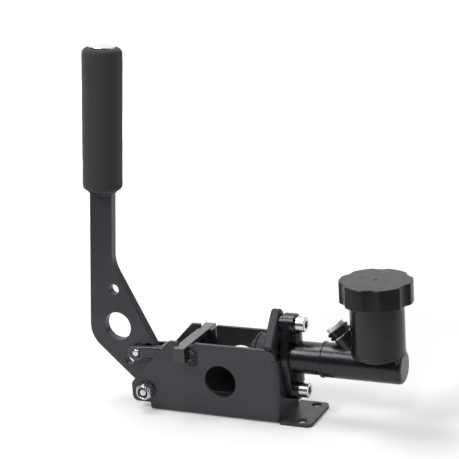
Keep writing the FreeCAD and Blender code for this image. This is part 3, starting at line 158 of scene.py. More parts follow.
class BrakeCylinderSettings(bpy.types.PropertyGroup):
    """The master cylinder, measured from the flange's rear face and from the cylinder's axis."""

    flange_place: length("Flange", "Flange's rear face in front of the origin", 38)
    axis_height: length("Axis height", "Cylinder axis above the floor", 51.5)
    bolt_half: length("Bolt half", "Each flange bolt from the axis", 28.575)
    flange_gauge: length("Flange thickness", "Thickness of the flange's middle", 6.5)
    flange_middle: length("Flange middle", "Radius of the flange's middle", 16)
    lobe_radius: length("Lobe radius", "Radius of the flange round each bolt", 8.6)
    lobe_gauge: length("Lobe thickness", "Thickness of the flange's lobes", 10.5)
    neck_radius: length("Neck radius", "Barrel next to the flange", 13.3)
    band_radius: length("Band radius", "Raised band round the barrel", 15)
    barrel_radius: length("Barrel radius", "Barrel under the reservoir", 14.3)
    barrel_end: length("Barrel end", "Closed end of the barrel", 100.5)
    barrel_round: length("Barrel rounding", "Rounding of the closed end", 4)
    reservoir_place: length("Reservoir", "Reservoir's axis along the barrel", 79)
    reservoir_radius: length("Reservoir radius", "Outside of the reservoir", 21.8)
    reservoir_bottom: length("Reservoir bottom", "Underside above the axis", 8)
    lip: length("Reservoir lip", "How far the lip round the reservoir's foot stands out", 0.35)
    reservoir_top: length("Reservoir top", "Rim above the axis", 66)
    port_place: length("Port", "Where the outlet's axis meets the barrel's", 67.1)
    port_tilt: turn_of("Port tilt", "Tilt of the outlet from upright", 39)
    port_height: length("Port height", "Mouth of the outlet from the axis", 28.3)
    cap_radius: length("Cap radius", "Outside of the cap's lobes", 29.4)
    cap_bottom: length("Cap bottom", "Lower edge of the cap above the axis", 53.8)
    cap_top: length("Cap top", "Top of the cap above the axis", 71.3)
    valley_radius: length("Valley radius", "Radius of each valley round the cap", 16.2)
    valley_depth: length("Valley depth", "Depth of each valley", 2)
    valley_count: bpy.props.IntProperty(name="Valleys", description="Valleys round the cap",
                                        default=6, min=3, max=12)
    valley_start: turn_of("First valley", "Direction of one valley from +X", 39.3)


class BrakeFinishSettings(bpy.types.PropertyGroup):
    """Colours and roughness of the finishes."""

    paint: tint("Powder coat", "Black powder coat of box and lever", (0.036, 0.037, 0.0415))
    paint_rough: share("Powder coat roughness", "Roughness of the powder coat", 0.36)
    anodised: tint("Anodised", "Black anodised cylinder", (0.0062, 0.0065, 0.0077))
    anodised_rough: share("Anodised roughness", "Roughness of the anodised cylinder", 0.27)
    cap_rough: share("Cap roughness", "Roughness of the cap", 0.3)
    foam: tint("Foam", "Foam grip", (0.036, 0.036, 0.04))
    rubber: tint("Rubber", "Dust boot and seals", (0.018, 0.018, 0.02))
    oxide: tint("Black oxide", "Clevis and dark fittings", (0.03, 0.03, 0.033))
    zinc: tint("Zinc", "Bright zinc plated steel", (0.72, 0.73, 0.75))
    alloy: tint("Alloy", "Bare machined aluminium", (0.82, 0.83, 0.85))
    bronze: tint("Bronze", "Bare bronze bush", (0.62, 0.45, 0.25))


class BrakeStageSettings(bpy.types.PropertyGroup):
    """Floor, lamps and camera."""

    floor: tint("Floor", "Colour of the studio floor", (0.92, 0.92, 0.922))
    floor_size: number("Floor size", "Side of the floor", 12.0, min=1.0, unit="LENGTH")
    key_power: power("Key", "Power of the key lamp", 13.0)
    fill_power: power("Fill", "Power of the fill lamp", 4.0)
    top_power: power("Top", "Power of the overhead lamp", 12.0)
    side_power: power("Side", "Power of the right-hand lamp", 1.3)
    glow: number("Floor glow", "Added to the floor for the camera near the object", 0.17, min=0.0)
    sky: number("Backdrop", "Strength of the pale backdrop", 1.0, min=0.0)
    dark: number("Room", "Strength of the dim room in front", 0.05, min=0.0)
    lens: number("Lens", "Focal length of the camera", 107.27, min=1.0,
                 subtype="DISTANCE_CAMERA", unit="CAMERA")


SETTINGS = {
    "brake_box": BrakeBoxSettings,
    "brake_lever": BrakeLeverSettings,
    "brake_cylinder": BrakeCylinderSettings,
    "brake_finish": BrakeFinishSettings,
    "brake_stage": BrakeStageSettings,
}


def sizes(group):
    """A settings group as plain numbers, its lengths in millimetres."""
    properties = group.bl_rna.properties
    values = {name: getattr(group, name) for name in group.__annotations__}
    return SimpleNamespace(**{name: value / MM if properties[name].unit == "LENGTH" else value
                              for name, value in values.items()})


# Places: a local frame with its origin and three axes

Place = namedtuple("Place", "origin x y z")


def place(origin, z, x):
    """A right-handed frame with its z and x axes given."""
    z, x = np.array(z, float), np.array(x, float)
    return Place(np.array(origin, float), x, np.cross(z, x), z)


def put(where, points):
    """Local points in the frame's own axes: origin + x * X + y * Y + z * Z."""
    return where.origin + points @ np.array([where.x, where.y, where.z])


def pivot_place(s, side):
    """The pivot's axis, its z pointing out of the near (-1) or far (1) side plate."""
    return place((-s.pivot_back, 0, s.pivot_height), (0, side, 0), (-side, 0, 0))


def lever_axes(s):
    """Origin, cross axis and long axis of the leaned lever."""
    along = (sin(s.lean), 0, cos(s.lean))
    across = (cos(s.lean), 0, -sin(s.lean))
    return np.array((-s.pivot_back, 0, s.pivot_height)), np.array(across), np.array(along)


def handle_place(s):
    origin, across, along = lever_axes(s)
    return place(origin - s.handle * across, along, across)


def cylinder_place(s):
    return place((s.flange_place, 0, s.axis_height), (1, 0, 0), (0, 1, 0))


def bolt_place(s, side):
    return place((s.flange_place, 0, s.axis_height + side * s.bolt_half), (1, 0, 0), (0, 1, 0))


def reservoir_place(s):
    return place((s.flange_place + s.reservoir_place, 0, s.axis_height), (0, 0, 1), (1, 0, 0))


def port_place(s):
    tilt = s.port_tilt
    return place((s.flange_place + s.port_place, 0, s.axis_height),
                 (-sin(tilt), 0, cos(tilt)), (cos(tilt), 0, sin(tilt)))


def rod_place():
    """From the clevis pin towards the cup in the piston."""
    pin, tilt = (-99.467, 0, 43.745), radians(2.912)
    return place(pin, (cos(tilt), 0, sin(tilt)), (0, -1, 0))


# Shapes: each gives (points, faces) blocks

def grid_faces(rows, columns, wrap_rows=False):
    """Quads between neighbouring points of a grid whose columns close round."""
    row, column = np.meshgrid(np.arange(rows if wrap_rows else rows - 1), np.arange(columns),
                              indexing="ij")
    next_row, next_column = (row + 1) % rows, (column + 1) % columns
    corners = [row * columns + column, row * columns + next_column,
               next_row * columns + next_column, next_row * columns + column]
    return np.stack(corners, -1).reshape(-1, 4)


def rounded(corners, closed=True, step=7.5):
    """Corners (x, y, radius) joined by straight sides, each corner an arc tangent to its sides.

    With turn the change of direction at the corner, the arc starts radius * tan(turn / 2) before
    it, and its points are the start turned about the centre, radius to the side of the path.
    """
    spots = np.array([corner[:2] for corner in corners], float)
    radii = np.array([corner[2] if len(corner) > 2 else 0 for corner in corners], float)
    into = spots - np.roll(spots, 1, 0)
    into /= np.maximum(np.linalg.norm(into, axis=1, keepdims=True), 1e-9)
    out = np.roll(into, -1, 0)
    turn = np.arctan2(into[:, 0] * out[:, 1] - into[:, 1] * out[:, 0], (into * out).sum(1))
    if not closed:
        radii[[0, -1]] = 0
    pieces = []
    for spot, radius, way, angle in zip(spots, radii, into, turn):
        if radius <= 0 or abs(angle) < 1e-4:
            pieces.append(spot[None])
            continue
        start = spot - way * radius * np.tan(abs(angle) / 2)
        centre = start + np.sign(angle) * radius * np.array((-way[1], way[0]))
        a = np.linspace(0, angle, max(3, ceil(abs(np.degrees(angle)) / step) + 1))
        arm = start - centre
        pieces.append(centre + np.stack([arm[0] * np.cos(a) - arm[1] * np.sin(a),
                                         arm[0] * np.sin(a) + arm[1] * np.cos(a)], -1))
    return np.concatenate(pieces)


def circle(x, y, radius, sides=48):
    a = np.linspace(0, TURN, sides, endpoint=False)
    return np.stack([x + radius * np.cos(a), y + radius * np.sin(a)], -1)


def hexed(radius, flats, angle):
    """The smaller of a radius and a hexagon's: half the flats / cos(angle off a flat's middle)."""
    off = np.mod(angle + pi / 6, pi / 3) - pi / 6
    return np.where(flats > 0, np.minimum(radius, flats / 2 / np.cos(off)), radius)


def turned(where, profile, sides=96, closed=False, shape=None):
    """A profile of (along, radius) rows turned about the place's z axis.

    The point at a row and angle is (radius * cos, radius * sin, along). A third number in a row
    is a hexagon's flats, which limit the radius. shape changes (along, angle, radius).
    """
    rows = np.array([(*row, 0)[:3] for row in profile], float)
    angle = np.linspace(0, TURN, sides, endpoint=False)
    along = np.repeat(rows[:, :1], sides, 1)
    radius = hexed(rows[:, 1:2], rows[:, 2:3], angle[None])
    if shape is not None:
        radius = shape(along, angle[None], radius)
    points = np.stack([radius * np.cos(angle), radius * np.sin(angle), along], -1)
    return put(where, points.reshape(-1, 3)), grid_faces(len(rows), sides, closed)


def turned_round(where, corners, closed=False):
    """As turned, from (along, radius, rounding) corners."""
    return turned(where, rounded(corners, closed), closed=closed)


def coil(where, low, high, radius, wire, turns, sides=14, per_turn=44):
    """A round wire wound round the place's z axis, each end closed to a point.

    At share u of its length and angle b round the wire the point is radius + wire * cos b from
    the axis, at the angle u * turns, and low + (high - low) * u + wire * sin b along it.
    """
    u = np.linspace(0, 1, turns * per_turn)[:, None]
    b = np.linspace(0, TURN, sides, endpoint=False)[None]
    size = np.full_like(u, wire)
    size[[0, -1]] = 0
    u[0], u[-1] = u[1], u[-2]
    angle, out = u * turns * TURN + 0 * b, radius + size * np.cos(b)
    along = low + (high - low) * u + size * np.sin(b)
    points = np.stack([out * np.cos(angle), out * np.sin(angle), along], -1)
    return put(where, points.reshape(-1, 3)), grid_faces(len(u), sides)


def hull_of_discs(discs, count=360):
    """Outline of a band drawn tight round discs (x, y, radius).

    In each direction n the outermost disc is the one with the largest centre . n + radius, and
    the outline's point is that disc's centre + radius * n.
    """
    angle = np.linspace(0, TURN, count, endpoint=False)
    n = np.stack([np.cos(angle), np.sin(angle)], -1)
    centres = np.array([disc[:2] for disc in discs], float)
    radii = np.array([disc[2] for disc in discs], float)
    best = np.argmax(n @ centres.T + radii, 1)
    return centres[best] + radii[best, None] * n


def shifted(loop, distance):
    """A closed 2-D loop moved to its left: each point by the mean normal of its two sides."""
    side = np.roll(loop, -1, 0) - loop
    side /= np.maximum(np.linalg.norm(side, axis=1, keepdims=True), 1e-9)
    normal = np.stack([-side[:, 1], side[:, 0]], -1)
    before = np.roll(normal, 1, 0)
    spread_of = 1 + (normal * before).sum(1, keepdims=True)
    return loop + distance * (normal + before) / np.maximum(spread_of, 0.4)


def wound(loop, forward):
    """The loop with its area positive (forward) or negative."""
    x, y = loop.T
    positive = (x * np.roll(y, -1) - y * np.roll(x, -1)).sum() > 0
    return loop if positive == forward else loop[::-1]


def slab(where, outline, holes, low, high, ease, high_ease=None):
    """A flat plate: the outline and its holes carried from the low face to the high one.

    At each face the edge is a quarter round: at angle t it stands in by ease * (1 - sin t) and
    lies ease * (1 - cos t) from the face. high_ease is the high face's, if it is another one.
    """
    high_ease = ease if high_ease is None else high_ease
    t = np.linspace(0, pi / 2, 4 + int(2 * max(ease, high_ease)))
    inward, upward = 1 - np.sin(t), 1 - np.cos(t)
    insets = np.concatenate([ease * inward, high_ease * inward[::-1]])
    heights = np.concatenate([low + ease * upward, high - high_ease * upward[::-1]])
    loops = [wound(outline, True)] + [wound(hole, False) for hole in holes]
    blocks, faces, start = [], [], 0
    for loop in loops:
        rings = np.stack([np.column_stack([shifted(loop, inset), np.full(len(loop), height)])
                          for inset, height in zip(insets, heights)])
        blocks.append(rings.reshape(-1, 3))
        faces.append(grid_faces(len(rings), len(loop)) + start)
        start += rings.shape[0] * rings.shape[1]
    caps, offsets = [], np.cumsum([0] + [len(block) for block in blocks[:-1]])
    for ring in (0, len(insets) - 1):
        flat = [[(*p, 0) for p in shifted(loop, insets[ring])] for loop in loops]
        index = np.concatenate([np.arange(len(loop)) + ring * len(loop) + offset
                                for loop, offset in zip(loops, offsets)])
        caps.append(index[np.array(tessellate_polygon(flat))])
    points = put(where, np.concatenate(blocks))
    return [(points, np.concatenate(faces)), (points, np.concatenate(caps))]


def bead(start, run, out, down, legs, ripple, seed):
    """A weld bead along a straight corner line.

    Its section is a quarter ellipse with a leg on each face, closed just inside their corner. Both
    legs swell along the run by (0.8 + 0.13 * ripples + slow lumps) * (1 - (2 s - 1)^6) ^ 0.5, and
    small knobs stand up from the arc: 0.15 * sin * sin of run and angle.
    """
    run, out, down = (np.array(v, float) for v in (run, out, down))
    distance = np.linalg.norm(run)
    s = np.linspace(0, 1, int(distance * 7))[:, None]  # seven rows to a millimetre
    a = np.linspace(0, pi / 2, 24)[None]
    wave = np.abs(np.sin(pi * (s * distance / ripple + 0.12 * np.sin(2 * a))))
    lump = 0.09 * np.sin(5.3 * s * distance / 3 + seed) + 0.05 * np.sin(11 * s + 2 * seed)
    knob = 0.15 * np.sin(s * distance / 1.9 + 2 * seed + 2 * a) * np.sin(3.4 * a + seed)
    taper = np.sqrt(np.clip(1 - (2 * s - 1) ** 6, 0, 1))
    swell = (0.80 + 0.13 * wave + lump + knob * np.sin(2 * a)) * taper
    line = start + s[..., None] * run
    arc = line + swell[..., None] * (legs[0] * np.cos(a)[..., None] * out
                                     + legs[1] * np.sin(a)[..., None] * down)
    inner = line - 0.4 * taper[..., None] * (out + down)
    points = np.concatenate([arc, inner], 1)
    return points.reshape(-1, 3), grid_faces(points.shape[0], points.shape[1])


# Meshes and objects

def linked(name, data):
    """A new object in the scene."""
    obj = bpy.data.objects.new(name, data)
    bpy.context.scene.collection.objects.link(obj)
    return obj


def baked(obj):
    """A new mesh of the object as its modifiers leave it."""
    graph = bpy.context.evaluated_depsgraph_get()
    return bpy.data.meshes.new_from_object(obj.evaluated_get(graph))


def edited(mesh, *steps):
    """The mesh after each step has changed its bmesh."""
    work = bmesh.new()
    work.from_mesh(mesh)
    for step in steps:
        step(work)
    work.to_mesh(mesh)
    work.free()
    return mesh


def merge_doubles(work):
    bmesh.ops.remove_doubles(work, verts=work.verts, dist=0.002 * MM)


def face_outwards(work):
    bmesh.ops.recalc_face_normals(work, faces=work.faces)


def join_flats(work):
    bmesh.ops.dissolve_limit(work, angle_limit=radians(0.6), verts=work.verts, edges=work.edges)


def move_points(mesh, change):
    """The mesh's points, in metres, become what change makes of them."""
    points = np.empty(len(mesh.vertices) * 3, np.float32)
    mesh.vertices.foreach_get("co", points)
    points = change(points.reshape(-1, 3))
    mesh.vertices.foreach_set("co", points.astype(np.float32).ravel())


def mesh_of(name, blocks):
    """One mesh of all blocks, its doubles merged and its faces turned outwards."""
    mesh = bpy.data.meshes.new(name)
    points = np.concatenate([points for points, _ in blocks])
    starts = np.cumsum([0] + [len(points) for points, _ in blocks[:-1]])
    corners = np.concatenate([(faces + start).ravel()
                              for (_, faces), start in zip(blocks, starts)])
    counts = np.concatenate([np.full(len(faces), faces.shape[1]) for _, faces in blocks])
    mesh.vertices.add(len(points))
    mesh.vertices.foreach_set("co", (points * MM).astype(np.float32).ravel())
    mesh.loops.add(len(corners))
    mesh.loops.foreach_set("vertex_index", corners.astype(np.int32))
    mesh.polygons.add(len(counts))
    mesh.polygons.foreach_set("loop_start", (np.cumsum(counts) - counts).astype(np.int32))
    mesh.update(calc_edges=True)
    mesh.validate()
    return edited(mesh, merge_doubles, face_outwards)


def slot_of(node):
    """The record's material slot of a CAD node."""
    return next(p["material_slot"] for p in frame["record"]["subparts"] if p["node"] == node)


def body_of(node):
    """The body that carries a CAD node."""
    bodies = frame["record"]["behaviour"]["bodies"]
    return next(body for body, nodes in bodies.items() if node in nodes)


def paint(mesh, finish):
    """Give the mesh one finish only."""
    mesh.materials.clear()
    mesh.materials.append(finishes()[finish])


def dress(obj, finish, body, crease=32):
    """Smooth shading up to the crease angle, weighted by area; finish and body."""
    mesh = obj.data
    mesh.polygons.foreach_set("use_smooth", np.ones(len(mesh.polygons), bool))
    mesh.set_sharp_from_angle(angle=radians(crease))
    weighted = obj.modifiers.new("weighted normals", "WEIGHTED_NORMAL")
    weighted.keep_sharp = True
    weighted.weight = 80
    paint(mesh, finish)
    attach(obj, body)
    return obj


def stand_in(obj, node, finish=None, crease=32):
    """The object in a CAD node's place, with the node's body and the finish of its slot or another
    one.
    """
    slot = slot_of(node)
    dress(obj, finish or slot, body_of(node), crease)
    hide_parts(node)
    return obj


def new_piece(name, blocks, node, finish=None, crease=32):
    """A new object of blocks in a CAD node's place."""
    return stand_in(linked(name, mesh_of(name, blocks)), node, finish, crease)


def without_box(mesh, corners):
    """The mesh less a block between two corners."""
    low, high = corners
    pick = np.array([(i, j, k) for i in (0, 1) for j in (0, 1) for k in (0, 1)])
    quads = np.array([(0, 1, 3, 2), (4, 6, 7, 5), (0, 4, 5, 1), (2, 3, 7, 6), (0, 2, 6, 4),
                      (1, 5, 7, 3)])
    tool = linked("cutter", mesh_of("cutter", [(np.where(pick, high, low), quads)]))
    whole = linked("whole", mesh)
    cut = whole.modifiers.new("cut", "BOOLEAN")
    cut.object, cut.operation, cut.solver = tool, "DIFFERENCE", "EXACT"
    left = baked(whole)
    for obj in (tool, whole):
        data = obj.data
        bpy.data.objects.remove(obj)
        bpy.data.meshes.remove(data)
    return left


def eased_copy(node, name, ease, cut_out, reshape):
    """A merged copy of a CAD node, less a block and reshaped.

    Its sharp edges are rounded, and its points are kept inside the node's box.
    """
    mesh = without_box(edited(frame["nodes"][node].data.copy(), merge_doubles), cut_out)
    edited(mesh, join_flats)
    move_points(mesh, lambda points: reshape(points / MM) * MM)
    obj = linked(name, mesh)
    bevel = obj.modifiers.new("eased edges", "BEVEL")
    bevel.width = ease * MM
    bevel.segments = 3
    bevel.limit_method = "ANGLE"
    bevel.angle_limit = radians(35)
    obj.data = baked(obj)
    obj.modifiers.clear()
    low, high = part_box(node)
    move_points(obj.data, lambda points: np.clip(points, low, high))
    return stand_in(obj, node)


# Finishes

def fill(tree, node, inputs):
    """Each named input of a node linked to a socket or set to a value."""
    for key, value in inputs.items():
        if isinstance(value, bpy.types.NodeSocket):
            tree.links.new(value, node.inputs[key])
        else:
            node.inputs[key].default_value = value


def add(tree, kind, inputs=None, **settings):
    """A shader node: settings are its own properties, inputs are values or other sockets."""
    made = tree.nodes.new(f"ShaderNode{kind}")
    for key, value in settings.items():
        setattr(made, key, value)
    fill(tree, made, inputs or {})
    return made


def empty_tree(owner):
    """The node tree of a material or a world, cleared."""
    owner.use_nodes = True
    owner.node_tree.nodes.clear()
    return owner.node_tree


def new_finish(name):
    """An empty material with its shader and object coordinates."""
    material = bpy.data.materials.new(name)
    tree = empty_tree(material)
    shader = add(tree, "BsdfPrincipled")
    add(tree, "OutputMaterial", {"Surface": shader.outputs["BSDF"]}).is_active_output = True
    return material, tree, shader, add(tree, "TexCoord").outputs["Object"]


def maths(tree, operation, first, second):
    return add(tree, "Math", {0: first, 1: second}, operation=operation).outputs[0]


def noise(tree, spot, scale, detail, roughness=0.5):
    inputs = {"Vector": spot, "Scale": scale, "Detail": detail, "Roughness": roughness}
    return add(tree, "TexNoise", inputs).outputs["Fac"]


def cells(tree, spot, scale):
    return add(tree, "TexVoronoi", {"Vector": spot, "Scale": scale}).outputs["Distance"]


def spread(tree, value, low, high, to_low, to_high):
    """The value's range from low to high carried onto another range."""
    inputs = {"Value": value, "From Min": low, "From Max": high, "To Min": to_low,
              "To Max": to_high}
    return add(tree, "MapRange", inputs).outputs["Result"]


def clouds(tree, value, low=0, high=1):
    """The middle of a noise, 0.3 to 0.7, carried onto a range."""
    return spread(tree, value, 0.3, 0.7, low, high)


def shaded(colour, factor):
    return tuple(min(1.0, channel * factor) for channel in colour)


def two_colours(tree, factor, first, second):
    """The first colour at factor 0, the second at factor 1."""
    first, second = (colour if isinstance(colour, bpy.types.NodeSocket) else (*colour[:3], 1)
                     for colour in (first, second))
    mix = add(tree, "Mix", data_type="RGBA")
    fill(tree, mix, {0: factor, 6: first, 7: second})
    return mix.outputs[2]


def mottled(tree, value, colour, dark, pale):
    """A colour times dark to times pale over the middle of a noise."""
    return two_colours(tree, clouds(tree, value), shaded(colour, dark), shaded(colour, pale))


def bump(tree, height, distance, strength=1.0, under=None):
    inputs = {"Height": height, "Distance": distance * MM, "Strength": strength}
    if under is not None:
        inputs["Normal"] = under
    return add(tree, "Bump", inputs).outputs["Normal"]


def edge_share(tree):
    """1 on edges and 0 on flats: how far a rounded normal leans from the face's own."""
    soft = add(tree, "Bevel", {"Radius": 0.5 * MM}, samples=4).outputs["Normal"]
    own = add(tree, "NewGeometry").outputs["True Normal"]
    lean = add(tree, "VectorMath", {0: soft, 1: own}, operation="DOT_PRODUCT").outputs["Value"]
    return spread(tree, lean, 0.995, 0.86, 0.0, 1.0)


def shade(tree, shader, **inputs):
    """The shader's inputs, named with underscores for spaces."""
    fill(tree, shader, {key.replace("_", " "): value for key, value in inputs.items()})


def powder_coat(name, colour, roughness, gloss=0.0, index=1.5, edge_highlight_and_wear=2.1):
    """Satin black powder coat: fine orange peel, faint mottling, paler edges that are partly wear
    and partly a painted highlight.
    """
    material, tree, shader, spot = new_finish(name)
    body = mottled(tree, noise(tree, spot, 38, 4, 0.6), colour, 0.88, 1.14)
    patches = spread(tree, noise(tree, spot, 260, 3), 0.35, 0.7, 0.25, 1)
    # Painted highlight with some wear: edges, in patches, are paled towards a lighter copy of the
    # colour.
    wear_and_highlight_edges = maths(tree, "MULTIPLY", edge_share(tree), patches)
    peel = bump(tree, noise(tree, spot, 1500, 2, 0.55), 0.012)
    shade(tree, shader, Base_Color=two_colours(tree, wear_and_highlight_edges, body, shaded(colour, edge_highlight_and_wear)),
          Roughness=clouds(tree, noise(tree, spot, 90, 3), roughness - 0.05, roughness + 0.06),
          Normal=bump(tree, noise(tree, spot, 5200, 1), 0.004, 1.0, peel),
          Metallic=0.0, IOR=index, Specular_Tint=SHEEN, Coat_Weight=gloss,
          Coat_Roughness=0.16, Coat_IOR=1.5, Coat_Tint=SHEEN)
    return material


def anodised(name, colour, roughness, index=1.5, edge_highlight_and_wear=5):
    """Satin black anodised aluminium: very fine blasted grain, a soft sheen, and paler edges that
    are partly wear and partly a painted highlight.
    """
    material, tree, shader, spot = new_finish(name)
    body = mottled(tree, noise(tree, spot, 60, 4, 0.6), colour, 0.9, 1.12)
    shade(tree, shader,
          # Painted highlight with some wear: the edges are paled towards a lighter copy of the
          # colour.
          Base_Color=two_colours(tree, edge_share(tree), body, shaded(colour, edge_highlight_and_wear)),
          Roughness=clouds(tree, noise(tree, spot, 140, 3), roughness - 0.04, roughness + 0.05),
          Normal=bump(tree, noise(tree, spot, 1900, 2), 0.0025),
          Metallic=0.0, IOR=index, Specular_Tint=SHEEN)
    return material


def plated(name, colour, roughness):
    """Bright metal with faint clouding and hairline scratches."""
    material, tree, shader, spot = new_finish(name)
    stretched = add(tree, "Mapping", {"Vector": spot, "Scale": (1, 9, 1)}).outputs["Vector"]
    hair = noise(tree, stretched, 700, 3, 0.7)
    shade(tree, shader,
          Base_Color=mottled(tree, noise(tree, spot, 180, 4, 0.6), colour, 0.86, 1.05),
          Roughness=clouds(tree, hair, roughness - 0.06, roughness + 0.08),
          Normal=bump(tree, hair, 0.002), Metallic=1.0)
    return material


def machined(name, colour, roughness):
    """Turned aluminium: fine grain in the metal's roughness and surface."""
    material, tree, shader, spot = new_finish(name)
    grain = noise(tree, spot, 900, 1)
    shade(tree, shader,
          Base_Color=mottled(tree, noise(tree, spot, 220, 3), colour, 0.9, 1.04),
          Roughness=clouds(tree, grain, roughness - 0.05, roughness + 0.07),
          Normal=bump(tree, grain, 0.004), Metallic=1.0)
    return material


def foam_finish(name, colour):
    """Fine closed-cell foam: small pits of two sizes, matt with a little fuzz."""
    material, tree, shader, spot = new_finish(name)
    fine, pores = cells(tree, spot, 1500), cells(tree, spot, 620)
    cloud = noise(tree, spot, 120, 4, 0.65)
    # Painted shade in the pits: the colour darkens towards the cells' edges, where the bump below
    # sinks.
    body = two_colours(tree, spread(tree, fine, 0.1, 0.55, 0, 1), shaded(colour, 1.25),
                       shaded(colour, 0.7))
    coarse = bump(tree, spread(tree, pores, 0, 0.6, 1, 0), 0.10, 0.6)
    shade(tree, shader,
          Base_Color=two_colours(tree, clouds(tree, cloud, 0, 0.5), body, shaded(colour, 1.3)),
          Roughness=clouds(tree, cloud, 0.82, 0.94),
          Normal=bump(tree, spread(tree, fine, 0, 0.6, 1, 0), 0.06, 0.8, coarse),
          Sheen_Weight=0.12, Sheen_Roughness=0.5)
    return material


def rubber_finish(name, colour):
    """Matt black rubber with a faint grain."""
    material, tree, shader, spot = new_finish(name)
    cloud = noise(tree, spot, 90, 4, 0.6)
    shade(tree, shader, Base_Color=mottled(tree, cloud, colour, 0.85, 1.4),
          Roughness=clouds(tree, cloud, 0.5, 0.66),
          Normal=bump(tree, noise(tree, spot, 1300, 3), 0.012))
    return material


FINISHES = {}


def finishes():
    """Every finish, made once: first those with the names of the record's slots."""
    if not FINISHES:
        f = bpy.context.scene.brake_finish
        FINISHES.update({
            "box_paint": powder_coat("box_powder_coat", f.paint, f.paint_rough),
            "lever_paint": powder_coat("lever_powder_coat", f.paint, f.paint_rough),
            "cylinder_black": anodised("cylinder_anodised", f.anodised, f.anodised_rough,
                                       index=1.53),
            # Its higher edge factor paints highlight lines along the clevis's edges, with some
            # wear.
            "clevis_black": powder_coat("clevis_oxide", f.oxide, 0.3, 0.3, edge_highlight_and_wear=5),
            "zinc_steel": plated("bright_zinc", f.zinc, 0.24),
            "bush_bronze": plated("bare_bronze", f.bronze, 0.35),
            "grip_foam": foam_finish("grip_foam_finish", f.foam),
            "plug_metal": plated("polished_plug", shaded(f.zinc, 1.1), 0.16),
            "boot_rubber": rubber_finish("boot_rubber_finish", f.rubber),
            "fitting_black": anodised("fitting_anodised", shaded(f.oxide, 0.4), 0.2),
            "bright_alloy": machined("machined_alloy", f.alloy, 0.3),
            "spring_steel": plated("oiled_spring_steel", (0.42, 0.42, 0.44), 0.3),
            # The cap, boot, collar and ear finishes pale their edges strongly: painted highlight
            # lines.
            "cap_black": anodised("cap_anodised", f.anodised, f.cap_rough, index=1.4, edge_highlight_and_wear=12),
            "boot_edges": powder_coat("boot_skin", f.rubber, 0.47, index=1.38, edge_highlight_and_wear=16),
            "collar_paint": powder_coat("collar_coat", f.paint, 0.28, 0.5, edge_highlight_and_wear=9),
            "ear_paint": powder_coat("ear_coat", f.paint, 0.32, index=1.25, edge_highlight_and_wear=5),
            # The crossbar and weld beads take the box's black at half and at 0.4 of its colour:
            # painted shade.
            "bar_paint": powder_coat("crossbar_gloss_coat", shaded(f.paint, 0.5), 0.3, 1.0, 1.3),
            "weld_paint": powder_coat("weld_powder_coat", shaded(f.paint, 0.4), 0.34, 0.3),
            "bright_plug": machined("plug_alloy", (0.97, 0.97, 0.98), 0.6),
        })
    return FINISHES


# Metric fasteners: pitch and radius of the M8 thread, flats and corners of its hexagons
PITCH, M8 = 1.25, 4
FLATS, CORNERS = 13, 7.6


def thread(depth, start, end):
    """A helical thread: the radius falls by depth * |2 frac(along / pitch - turn) - 1|."""
    def shape(along, angle, radius):
        phase = np.mod(along / PITCH - angle / TURN, 1)
        inside = (along > start) & (along < end)
        return radius - inside * depth * (1 - np.abs(2 * phase - 1))
    return shape


def thread_rows(start, end):
    """Rows close enough together to show a thread between two places."""
    count = max(4, int((end - start) / PITCH * 8))
    return [(along, M8) for along in np.linspace(start, end, count)]


# Operators

class BRAKE_OT_base_box(bpy.types.Operator):
    """Make the folded box with its crossbar and weld beads"""

    bl_idname = "brake.base_box"
    bl_label = "Base Box"

    def execute(self, context):
        s = sizes(context.scene.brake_box)
        self.box(s)
        self.crossbar(s)
        self.welds(s)
        return {"FINISHED"}

    @staticmethod
    def box(s):
        """The CAD's box, slit beside the far weld, its bend relief nearly closed.

        Its far window moves to where the photograph shows it through the box.
        """
        slit_rear, slit_low, slit_high = -35.7, 53, 70
        relief_top, wall_top = 57.5, 54
        window, window_reach, window_shift = (-13.3, 32.3), 14.5, (1.6, 0, 2.1)

        def adjust(points):
            x, y, z = points.T
            at_front, at_far = x > 30, y > 15
            points[at_front & (np.abs(z - relief_top) < 0.1), 2] = wall_top + s.relief_gap
            off = np.hypot(x - window[0], z - window[1])
            points[at_far & (off < window_reach)] += window_shift
            return points
        slit = np.array([(slit_rear, s.half_width - 4, slit_low),
                         (slit_rear + s.slit, s.half_width + 1, slit_high)])
        eased_copy("base_tray", "folded_box", s.ease, slit, adjust)

    @staticmethod
    def crossbar(s):
        """The square bar, cut out from below in its middle, where the fork passes."""
        half, low, high = s.bar_length / 2, s.bar_bottom, s.bar_top
        notch, roof = s.relief_half, s.relief_top
        spots = [(-half, low), (-notch, low), (-notch, roof), (notch, roof), (notch, low),
                 (half, low), (half, high), (-half, high)]
        outline = rounded([(*spot, s.bar_ease) for spot in spots], step=30)
        across = place((-s.bar_rear, 0, 0), (1, 0, 0), (0, 1, 0))
        new_piece("crossbar", slab(across, outline, [], 0, s.bar_depth, s.bar_ease), "stop_bar",
                  "bar_paint")

    @staticmethod
    def welds(s):
        """A level bead under the bar and an upright one in front of it, at both ends."""
        beads, overlap, rear = [], 5, -s.bar_rear
        for side in (-1, 1):
            face, out = side * s.half_width, (0, side, 0)
            reach = s.weld_reach if side < 0 else s.weld_leg
            beads += [bead((rear, face, s.bar_bottom), (s.bar_depth, 0, 0), out, (0, 0, -1),
                           (s.weld_leg, s.weld_leg), s.ripple, side),
                      bead((rear + s.bar_depth, face, s.bar_bottom - overlap),
                           (0, 0, s.weld_front), out, (1, 0, 0), (s.weld_leg, reach),
                           s.ripple, 2 + side)]
        new_piece("weld_runs", beads, "weld_beads", "weld_paint", crease=60)


